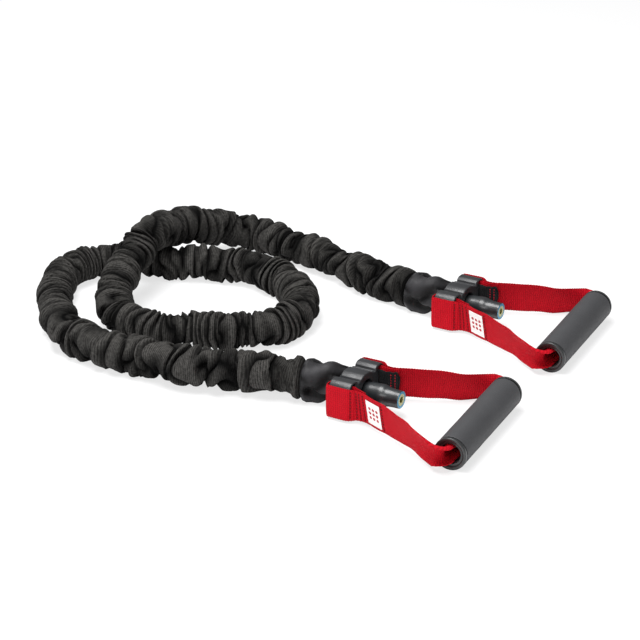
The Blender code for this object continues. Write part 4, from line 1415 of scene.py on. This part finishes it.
def band_points(places, leans, curls, width, full_curl, q, lift):
    """Points of a curling band at share q of its half width, lifted off its middle.

    Returns them as (places, q, 3). A curl of 1 bends the band round full_curl, and the
    band settles into the grip's bore late, by a high power of its curl.
    """
    settling = 5
    q = np.atleast_2d(q)
    outward, up = band_frames(places)
    cos, sin = np.cos(leans)[:, None], np.sin(leans)[:, None]
    tall = up * cos + outward * sin
    flat = outward * cos - up * sin
    turn = np.maximum(curls * full_curl, 1e-4)[:, None]
    radius = width / turn
    angle = q * turn / 2
    settled = (width / full_curl) * curls[:, None] ** settling
    sink = radius * (1 - np.cos(angle)) - settled
    height = radius * np.sin(angle)
    flat_part = sink + lift * np.cos(angle)
    tall_part = height - lift * np.sin(angle)
    return (places[:, None, :] + flat[:, None, :] * flat_part[..., None]
            + tall[:, None, :] * tall_part[..., None])


def band_rows(marks, places, leans, curls, width, thickness, full_curl, dimples=None,
              ruffle=None):
    """Rings round a band with full, rounded edges, and dimples or a ruffle where told."""
    columns, fullness, edge_share, wave_depth = 15, 14, 0.35, 0.00018
    loop_reach, loop_pitch = 0.011, 0.0025
    q = np.linspace(-1.0, 1.0, columns)
    edge = np.sqrt(np.maximum(0.0, 1 - np.abs(q) ** fullness))
    edge[0] = edge[-1] = edge_share
    lift = np.broadcast_to(thickness / 2 * edge, (len(marks), len(q)))
    if ruffle is None:
        wave = Ripple(91, 0.022, 0)(marks, 0.0)[:, None] * wave_depth * q[None, :] ** 2
    else:
        wave = ruffle(marks, q)
    outer_lift = lift + wave
    inner_lift = -lift + wave
    if dimples is not None:
        outer_lift = outer_lift - dimples[:, None] * edge[None, :]
    loops = loop_reach * np.sin(marks * (math.tau / loop_pitch))[:, None]
    loops = 1 + loops * np.abs(q[None, :]) ** 6
    outer = band_points(places, leans, curls, width, full_curl, q * loops, outer_lift)
    inner = band_points(places, leans, curls, width, full_curl, q * loops, inner_lift)
    return np.concatenate((outer, inner[:, ::-1]), 1), q


def band_across(q, width):
    """Distance across the band for each column of its rings, and for the first again."""
    return np.concatenate((q, q[::-1], q[:1])) * width / 2


# Seams across the strap's outer layer, by u: the rows near the block, and the thread of the
# end seam
SEAM_ROWS = (0.0015, 0.0068, 0.0105, 0.0150)
END_THREAD_U = SEAM_U - 0.0002


def outer_layer(places, sign):
    """Which places of the strap are in the outer sewn layer on one side."""
    first, last, slack = -0.006, SEAM_U + 0.004, 0.0012
    sewn = (places[:, 0] > first) & (places[:, 0] < last)
    reach = PINCH_V + np.maximum(places[:, 0] - PINCH_U, 0) * math.tan(SEWN_SPREAD) - slack
    return sewn & (sign * places[:, 1] > reach)


def seam_dimples(places):
    """How deep the seams pull the outer webbing in at each place."""
    seams = [(seam, 0.00070, 0.0009) for seam in SEAM_ROWS] + [(SEAM_U, 0.00060, 0.0008)]
    total = np.zeros(len(places))
    for sign in (-1, 1):
        outer = outer_layer(places, sign)
        for seam, depth, width in seams:
            total += outer * depth * np.exp(-((places[:, 0] - seam) / width) ** 2)
    return total


class TUBE_OT_straps(bpy.types.Operator):
    """Build each handle's red webbing strap, sewn at both ends and curled in the grip"""

    bl_idname = "tube.straps"
    bl_label = "Webbing straps"

    def execute(self, context):
        sizes = context.scene.strap_sizes
        marks, table = strap_centre()
        places, leans, curls = table[:, :3], table[:, 3], table[:, 4]
        for side in DRIFTS:
            origin = handle_origin(side)
            rows, q = band_rows(marks, places, leans, curls, sizes.width, sizes.thickness,
                                sizes.curl, seam_dimples(places))
            rows = rows + np.array(origin)
            rest_on_floor(rows)
            name = side + "_webbing"
            mesh = shell_mesh(name, rows, marks, band_across(q, sizes.width))
            piece = add_piece(name, mesh, "strap", None, 55)
            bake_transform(piece)
            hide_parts(side + "_strap")
        return {"FINISHED"}


def tail_knots(sign):
    """The black tail as (u, v, w, lean): through the slot to the strap's inner layer."""
    sizes = bpy.context.scene.strap_sizes
    play = SLOT_WIDTH - sizes.thickness - sizes.tail_thickness
    slot_v = SLOT_V - SLOT_WIDTH / 2 + play / 4 + sizes.tail_thickness / 2
    depth = (sizes.thickness + LAYER_GAP + (sizes.thickness + sizes.tail_thickness) / 2
             + 2 * LAYER_GAP)
    sewn = [(u, layer_v(u, depth)) for u in (PINCH_U, TAIL_END)]
    middle = ((PINCH_U + sizes.tail_thickness) / 2, (slot_v + sewn[0][1]) / 2)
    flat = [(CUFF_FRONT + CLEARANCE, slot_v), (sizes.tail_thickness, slot_v), middle] + sewn
    leans = [0.0] * 2 + [SEWN_LEAN / 2] + [SEWN_LEAN] * 2
    return [(u, sign * v, 0.0, lean) for (u, v), lean in zip(flat, leans)]


def tail_line(sign, count=44):
    """Distances along a tail, with the place and lean at each."""
    knots = cut_corners(tail_knots(sign), 3)
    along = lengths_along(knots[:, :3])
    marks = np.linspace(0.0, along[-1], count)
    return marks, read_at(marks, along, knots)


def tail_ruffle(marks, q):
    """Soft waves of a tail beyond the slot, where its satin is bunched."""
    free_length, fade, wave_length, depth = 0.015, 0.008, 0.0060, 0.00055
    free = smooth_step((marks - marks[-1] + free_length) / fade)[:, None]
    skew = (2.6 * q + 1.3 * np.sin(3.1 * q))[None, :]
    return depth * free * np.sin(marks[:, None] * (math.tau / wave_length) + skew)


class TUBE_OT_tails(bpy.types.Operator):
    """Build the cuffs' black tails, which pass through the slots"""

    bl_idname = "tube.tails"
    bl_label = "Cuff tails"

    def execute(self, context):
        sizes = context.scene.strap_sizes
        frayed = 5
        for side in DRIFTS:
            for number, sign in ((1, -1), (2, 1)):
                marks, table = tail_line(sign)
                rows, q = band_rows(marks, table[:, :3], table[:, 3], np.zeros(len(marks)),
                                    sizes.tail_width, sizes.tail_thickness, 1.0,
                                    ruffle=tail_ruffle)
                cols = np.concatenate((q, q[::-1]))
                ragged = 0.0008 * np.sin(4.6 * cols) + 0.0005 * np.sin(11.0 * cols + 1.0)
                way = unit(table[-1, :3] - table[-3, :3])
                share = np.linspace(0.2, 1.0, frayed)[:, None]
                rows[-frayed:] += (share * ragged)[..., None] * way
                name = f"{side}_black_tail_{number}"
                mesh = shell_mesh(name, rows + np.array(handle_origin(side)), marks,
                                  band_across(q, sizes.tail_width))
                piece = add_piece(name, mesh, "tail", side + "_clip", 55)
                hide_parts(f"{side}_tail_{number}")
        return {"FINISHED"}


# A label: its start and end along the leg, its height, how far it hangs below the strap's
# middle, half its thickness, and the room for its sewing
LABEL_START = 0.0194
LABEL_END = 0.0372
LABEL_HEIGHT = 0.0236
LABEL_DROP = 0.0002
LABEL_HALF = 0.00025
LABEL_ROOM = 0.0003


def label_place(along_share, across, lift):
    """A point over the outer face of the leg on the -Y side, in the handle's frame."""
    strap_half_thickness = bpy.context.scene.strap_sizes.thickness / 2
    u = LABEL_START + (LABEL_END - LABEL_START) * along_share
    out = -(strap_half_thickness + LABEL_ROOM + LABEL_HALF + lift)
    middle = np.array((u, LABEL_DROP * math.tan(SEWN_LEAN) - layer_v(u, out), -LABEL_DROP))
    tall = np.array((-math.sin(SEWN_SPREAD) * math.sin(SEWN_LEAN),
                     -math.cos(SEWN_SPREAD) * math.sin(SEWN_LEAN), math.cos(SEWN_LEAN)))
    return middle + tall * across


class TUBE_OT_labels(bpy.types.Operator):
    """Build the sewn white label on each handle"""

    bl_idname = "tube.labels"
    bl_label = "Sewn labels"

    def execute(self, context):
        half = LABEL_HEIGHT / 2
        reach = (LABEL_END - LABEL_START) / 2
        end_tuck, side_tuck = 0.00012, 0.0001
        for side in DRIFTS:
            q = np.linspace(-1.0, 1.0, 13)
            rows = []
            for share in np.linspace(0.0, 1.0, 11):
                lift = LABEL_HALF - end_tuck * (abs(share - 0.5) * 2) ** 6
                front = [label_place(share, k * half, lift - side_tuck * abs(k) ** 6)
                         for k in q]
                back = [label_place(share, k * half, -LABEL_HALF) for k in q[::-1]]
                rows.append(front + back)
            name = side + "_woven_label"
            across = band_across(q, LABEL_HEIGHT)
            along = np.linspace(-reach, reach, len(rows))
            mesh = shell_mesh(name, np.array(rows) + np.array(handle_origin(side)), along,
                              across)
            piece = add_piece(name, mesh, "label", side + "_clip", 50)
            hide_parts(side + "_label")
        return {"FINISHED"}


# The sewing thread, its sides, and the form of a stitch as share of its length, share of
# the thread's radius, and lift in radii
THREAD_RADIUS = 0.00044
THREAD_SIDES = 6
STITCH_FORM = (
    (0.0, 0.35, -0.9), (0.18, 0.85, 0.1), (0.5, 1.0, 0.35), (0.82, 0.85, 0.1),
    (1.0, 0.35, -0.9),
)


def stitch_rings(start, end, normal):
    """Rings of one stitch, sunk at both ends."""
    way = unit(end - start)
    side = np.cross(way, normal)
    turns = [math.tau * k / THREAD_SIDES for k in range(THREAD_SIDES)]
    rings = []
    for share, size, lift in STITCH_FORM:
        centre = start + (end - start) * share + normal * THREAD_RADIUS * lift
        radius = THREAD_RADIUS * size
        rings.append([centre + radius * (side * math.cos(turn) + normal * math.sin(turn))
                      for turn in turns])
    return np.array(rings)


def stitch_mesh(name, stitches):
    """One mesh of many stitches, each (start, end, normal)."""
    points, faces = [], []
    around = range(THREAD_SIDES)
    for start, end, normal in stitches:
        rings = stitch_rings(start, end, normal)
        first = len(points)
        last = first + (len(rings) - 1) * THREAD_SIDES
        points.extend(rings.reshape(-1, 3).tolist())
        for ring in range(first, last, THREAD_SIDES):
            for k in around:
                here, after = ring + k, ring + (k + 1) % THREAD_SIDES
                faces.append((here, after, after + THREAD_SIDES, here + THREAD_SIDES))
        faces.append([first + k for k in reversed(around)])
        faces.append([last + k for k in around])
    mesh = bpy.data.meshes.new(name)
    mesh.from_pydata(points, [], faces)
    face_outward(mesh)
    return mesh


def seam_row(surface, normals, spacing):
    """Stitches down a row of surface points, broken at an even spacing."""
    margin = 0.14
    along = lengths_along(surface)
    count = int(along[-1] / spacing)
    stitches = []
    for index in range(count):
        begin = (index + margin) * along[-1] / count
        end = (index + 1 - margin) * along[-1] / count
        first, last = read_at((begin, end), along, surface)
        k = min(len(normals) - 1, int(np.searchsorted(along, (begin + end) / 2)))
        stitches.append((first, last, normals[k]))
    return stitches


def strap_stitches(marks, table):
    """Stitches of the sewn ends, on the strap's outer faces."""
    sizes = bpy.context.scene.strap_sizes
    places, leans, curls = table[:, :3], table[:, 3], table[:, 4]
    spacing, sunk, above_face = 0.0029, 0.00022, 0.001
    q = np.linspace(-0.90, 0.90, 25)
    lift = np.full((len(marks), len(q)), sizes.thickness / 2 - sunk)
    face = band_points(places, leans, curls, sizes.width, sizes.curl, q, lift)
    above = band_points(places, leans, curls, sizes.width, sizes.curl, q, lift + above_face)
    stitches = []
    for sign in (-1, 1):
        outer = np.flatnonzero(outer_layer(places, sign))
        for seam in (*SEAM_ROWS, END_THREAD_U):
            index = outer[np.argmin(np.abs(places[outer, 0] - seam))]
            normals = unit(above[index] - face[index])
            stitches += seam_row(face[index], normals, spacing)
    return stitches


def tail_stitches():
    """Two rows of bright stitches near the end of each tail, on its inner face."""
    sizes = bpy.context.scene.strap_sizes
    spacing, above_face = 0.0026, 0.001
    stitches = []
    for sign in (-1, 1):
        marks, table = tail_line(sign)
        places, leans, flat = table[:, :3], table[:, 3], np.zeros(len(marks))
        q = np.linspace(-0.86, 0.86, 21)
        lift = sign * sizes.tail_thickness / 2 + tail_ruffle(marks, q)
        face = band_points(places, leans, flat, sizes.tail_width, 1.0, q, lift)
        above = band_points(places, leans, flat, sizes.tail_width, 1.0, q,
                            lift + sign * above_face)
        for seam in (0.0112, 0.0142):
            index = int(np.argmin(np.abs(places[:, 0] - seam)))
            normals = unit(above[index] - face[index])
            stitches += seam_row(face[index], normals, spacing)
    return stitches


class TUBE_OT_stitching(bpy.types.Operator):
    """Sew the straps and the tails with visible thread"""

    bl_idname = "tube.stitching"
    bl_label = "Stitching"

    def execute(self, context):
        marks, table = strap_centre()
        plans = (("strap_stitching", strap_stitches(marks, table), "strap_thread"),
                 ("tail_stitching", tail_stitches(), "tail_thread"))
        for side in DRIFTS:
            for kind, stitches, finish in plans:
                name = f"{side}_{kind}"
                mesh = stitch_mesh(name, stitches)
                mesh.transform(Matrix.Translation(handle_origin(side)))
                add_piece(name, mesh, finish, side + "_clip", 60)
        return {"FINISHED"}


def turned_rows(profile, around):
    """Rings from an outline of (radius, height) turned about the grip's own Y."""
    angle = np.linspace(0.0, math.tau, around, endpoint=False)
    return np.array([[(radius * math.cos(a), height, radius * math.sin(a)) for a in angle]
                     for radius, height in profile])


def eased(corners, edge, steps=4):
    """Round each corner of a closed outline, given as (radius, height, share of edge)."""
    drawn = []
    count = len(corners)
    for index, (radius, height, share) in enumerate(corners):
        here = np.array((radius, height))
        before = np.array(corners[index - 1][:2]) - here
        after = np.array(corners[(index + 1) % count][:2]) - here
        reach = edge * share
        if reach <= 0:
            drawn.append(tuple(here))
            continue
        first = here + unit(before) * min(reach, np.linalg.norm(before) * 0.45)
        last = here + unit(after) * min(reach, np.linalg.norm(after) * 0.45)
        for step in range(steps + 1):
            t = step / steps
            point = first * (1 - t) ** 2 + 2 * here * t * (1 - t) + last * t * t
            drawn.append(tuple(point))
    return drawn


# How far in from the grip's end the collar's flange and the foam stop, and the radius of
# the groove's floor between them
FLANGE_END = 0.0031
FOAM_END = 0.0047
GROOVE_RADIUS = 0.0142


def collar_profile():
    """A collar: dished face with a raised rim, rounded mouth, groove and spigot."""
    end = GRIP_LENGTH / 2
    corners = ((0.0090, end - 0.015, 0), (0.0090, end - 0.0018, 1.2),
               (0.0112, end - 0.0016, 0.6), (0.0124, end - 0.0002, 0.6),
               (GRIP_RADIUS, end, 1.3), (GRIP_RADIUS, end - FLANGE_END, 0.4),
               (GROOVE_RADIUS, end - FLANGE_END, 0), (GROOVE_RADIUS, end - FOAM_END, 0),
               (0.0104, end - FOAM_END, 0), (0.0102, end - 0.015, 0))
    return eased(corners, 0.0009)


def collar_mesh(name, sign):
    """A collar's mesh, with painted shade in its groove."""
    around = 72
    profile = collar_profile()
    rows = turned_rows(profile, around)
    rows[..., 1] *= sign
    mesh = shell_mesh(name, rows, closed=True)
    mesh.materials.append(finish_of("collar"))
    mesh.materials.append(finish_of("groove"))
    kinds = np.zeros(len(mesh.polygons), np.int32)
    floor = [k for k, (radius, _) in enumerate(profile) if radius == GROOVE_RADIUS]
    # The groove's faces take the darkened copy of the plastic, as painted shade.
    kinds[(floor[0] - 1) * around:(floor[-1] + 1) * around] = 1
    mesh.polygons.foreach_set("material_index", kinds)
    return mesh


def foam_rows():
    """The foam: rounded ends, and a skin that is never quite even."""
    bore, edge, margin, steps = 0.0123, 0.0006, 0.0009, 60
    around, unevenness = 96, 0.00007
    half = GRIP_LENGTH / 2 - FOAM_END
    rim = [(GRIP_RADIUS - edge * (1 - math.sin(math.radians(18 * step))),
            half - edge * (1 - math.cos(math.radians(18 * step)))) for step in range(6)]
    outline = [(bore, -half), (bore, half)] + rim
    outline += [(GRIP_RADIUS, half - margin - 2 * (half - margin) * k / steps)
                for k in range(1, steps)]
    outline += [(radius, -height) for radius, height in reversed(rim)]
    rows = turned_rows(outline, around)
    angle = np.linspace(0.0, math.tau, around, endpoint=False)[None, :]
    uneven = Ripple(131, 0.050, 3)(rows[..., 1], angle) * unevenness
    uneven[:2] = 0.0
    rows[..., 0] -= np.cos(angle) * np.abs(uneven)
    rows[..., 2] -= np.sin(angle) * np.abs(uneven)
    return rows


def grip_matrix(side):
    """Place and turn of a grip in the world."""
    middle = handle_origin(side) + GRIP_MIDDLE
    return Matrix.Translation(middle) @ Matrix.Rotation(GRIP_YAW, 4, "Z")


class TUBE_OT_grips(bpy.types.Operator):
    """Build each foam grip with its collars"""

    bl_idname = "tube.grips"
    bl_label = "Grips"

    def execute(self, context):
        for side in DRIFTS:
            place = grip_matrix(side)
            mesh = shell_mesh(side + "_foam", foam_rows(), closed=True)
            mesh.transform(place)
            foam = add_piece(side + "_foam", mesh, "foam", side + "_grip", 35)
            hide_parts(side + "_grip_foam")
            for number, sign in ((1, -1), (2, 1)):
                name = f"{side}_dished_collar_{number}"
                mesh = collar_mesh(name, sign)
                mesh.transform(place)
                collar = add_piece(name, mesh, None, side + "_grip", 40)
                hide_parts(f"{side}_end_collar_{number}")
            refinish(frame["nodes"][side + "_grip_core"].data, "collar")
        return {"FINISHED"}


class TUBE_OT_cords(bpy.types.Operator):
    bl_idname = "tube.cords"
    bl_label = "Free tube"

    def execute(self, context):
        objects = bpy.data.objects
        step = 0.004
        plans = (("sleeve_long", "right", 0.034), ("sleeve_short", "left", 0.0285))
        for line, (name, side, width) in zip(sleeve_lines(), plans):
            marks = np.linspace(0.0, line.length, math.ceil(line.length / step))
            path = [tuple(float(x) for x in point) for point in line.at(marks)]
            pieces = [objects["inner_tube_" + name.split("_")[1]],
                      objects[side + "_rubber_end"]]
        return {"FINISHED"}


def white_room(world):
    """A plain white world: full white to the camera and through glass, softer as light."""
    world.use_nodes = True
    tree = world.node_tree
    tree.nodes.clear()
    path = tree.nodes.new("ShaderNodeLightPath")
    seen = tree.nodes.new("ShaderNodeMath")
    seen.operation = "MAXIMUM"
    tree.links.new(path.outputs["Is Camera Ray"], seen.inputs[0])
    tree.links.new(path.outputs["Is Transmission Ray"], seen.inputs[1])
    strength = tree.nodes.new("ShaderNodeMapRange")
    tree.links.new(seen.outputs[0], strength.inputs["Value"])
    strength.inputs["To Min"].default_value = WORLD_LIGHT
    strength.inputs["To Max"].default_value = 1.0
    sky = tree.nodes.new("ShaderNodeBackground")
    tree.links.new(strength.outputs[0], sky.inputs["Strength"])
    out = tree.nodes.new("ShaderNodeOutputWorld")
    tree.links.new(sky.outputs[0], out.inputs["Surface"])


def floor_finish():
    """A pale studio floor that stays white away from the object's shadow."""
    material = bpy.data.materials.new("studio_floor")
    material.use_nodes = True
    tree = material.node_tree
    shader = tree.nodes["Principled BSDF"]
    shader.inputs["Base Color"].default_value = (0.93, 0.93, 0.94, 1.0)
    shader.inputs["Roughness"].default_value = 0.9
    glow = tree.nodes.new("ShaderNodeEmission")
    mix = tree.nodes.new("ShaderNodeMixShader")
    path = tree.nodes.new("ShaderNodeLightPath")
    seen = tree.nodes.new("ShaderNodeMath")
    seen.operation = "MULTIPLY"
    seen.inputs[1].default_value = FLOOR_GLOW
    tree.links.new(path.outputs["Is Camera Ray"], seen.inputs[0])
    tree.links.new(seen.outputs[0], mix.inputs["Fac"])
    tree.links.new(shader.outputs[0], mix.inputs[1])
    tree.links.new(glow.outputs[0], mix.inputs[2])
    tree.links.new(mix.outputs[0], tree.nodes["Material Output"].inputs["Surface"])
    return material


def add_lamp(name, place, aim, size, power):
    """A soft square lamp pointed at a spot."""
    data = bpy.data.lights.new(name, "AREA")
    data.shape = "RECTANGLE"
    data.size, data.size_y = size
    data.energy = power
    lamp = bpy.data.objects.new(name, data)
    lamp.location = place
    lamp.rotation_euler = (Vector(aim) - Vector(place)).to_track_quat("-Z", "Y").to_euler()
    bpy.context.scene.collection.objects.link(lamp)


class TUBE_OT_stage(bpy.types.Operator):
    """Set up the pale floor, the soft lamps and the camera"""

    bl_idname = "tube.stage"
    bl_label = "Stage"

    def execute(self, context):
        scene = context.scene
        scene.view_settings.view_transform = "Standard"
        data = bpy.data.cameras.new("camera")
        data.lens = CAMERA_LENS
        data.sensor_width = 36.0
        data.clip_end = 50.0
        camera = bpy.data.objects.new("camera", data)
        camera.location = CAMERA_PLACE
        way = Vector(CAMERA_AIM) - Vector(CAMERA_PLACE)
        camera.rotation_euler = way.to_track_quat("-Z", "Y").to_euler()
        scene.collection.objects.link(camera)
        scene.camera = camera
        mesh = bpy.data.meshes.new("studio_floor")
        corners = [(-9, -9, 0), (9, -9, 0), (9, 9, 0), (-9, 9, 0)]
        mesh.from_pydata(corners, [], [(0, 1, 2, 3)])
        floor = bpy.data.objects.new("studio_floor", mesh)
        mesh.materials.append(floor_finish())
        scene.collection.objects.link(floor)
        scene.world = scene.world or bpy.data.worlds.new("studio")
        white_room(scene.world)
        for lamp in LAMPS:
            add_lamp(*lamp)
        return {"FINISHED"}


GROUPS = {
    "sleeve_sizes": SleeveSizes,
    "strap_sizes": StrapSizes,
    "tube_colours": TubeColours,
}
STEPS = (
    TUBE_OT_stage, TUBE_OT_sleeve, TUBE_OT_inner_tube, TUBE_OT_tube_ends, TUBE_OT_cords,
    TUBE_OT_cuffs, TUBE_OT_blocks, TUBE_OT_straps, TUBE_OT_tails, TUBE_OT_labels,
    TUBE_OT_stitching, TUBE_OT_grips,
)


class TUBE_PT_pieces(bpy.types.Panel):
    """Lists the tube's pieces, sizes and colours"""

    bl_idname = "TUBE_PT_pieces"
    bl_label = "Resistance tube"
    bl_space_type = "VIEW_3D"
    bl_region_type = "UI"
    bl_category = "Resistance tube"

    def draw(self, context):
        for group in GROUPS:
            settings = getattr(context.scene, group)
            for key in settings.__annotations__:
                self.layout.prop(settings, key)
        for step in STEPS:
            self.layout.operator(step.bl_idname)


CLASSES = (*GROUPS.values(), *STEPS, TUBE_PT_pieces)


def register():
    for kind in CLASSES:
        bpy.utils.register_class(kind)
    for name, kind in GROUPS.items():
        setattr(bpy.types.Scene, name, PointerProperty(type=kind))


def unregister():
    for name in GROUPS:
        delattr(bpy.types.Scene, name)
    for kind in reversed(CLASSES):
        bpy.utils.unregister_class(kind)


def main():
    register()
    for step in STEPS:
        group, name = step.bl_idname.split(".")
        getattr(getattr(bpy.ops, group), name)()


if __name__ == "__main__":
    main()
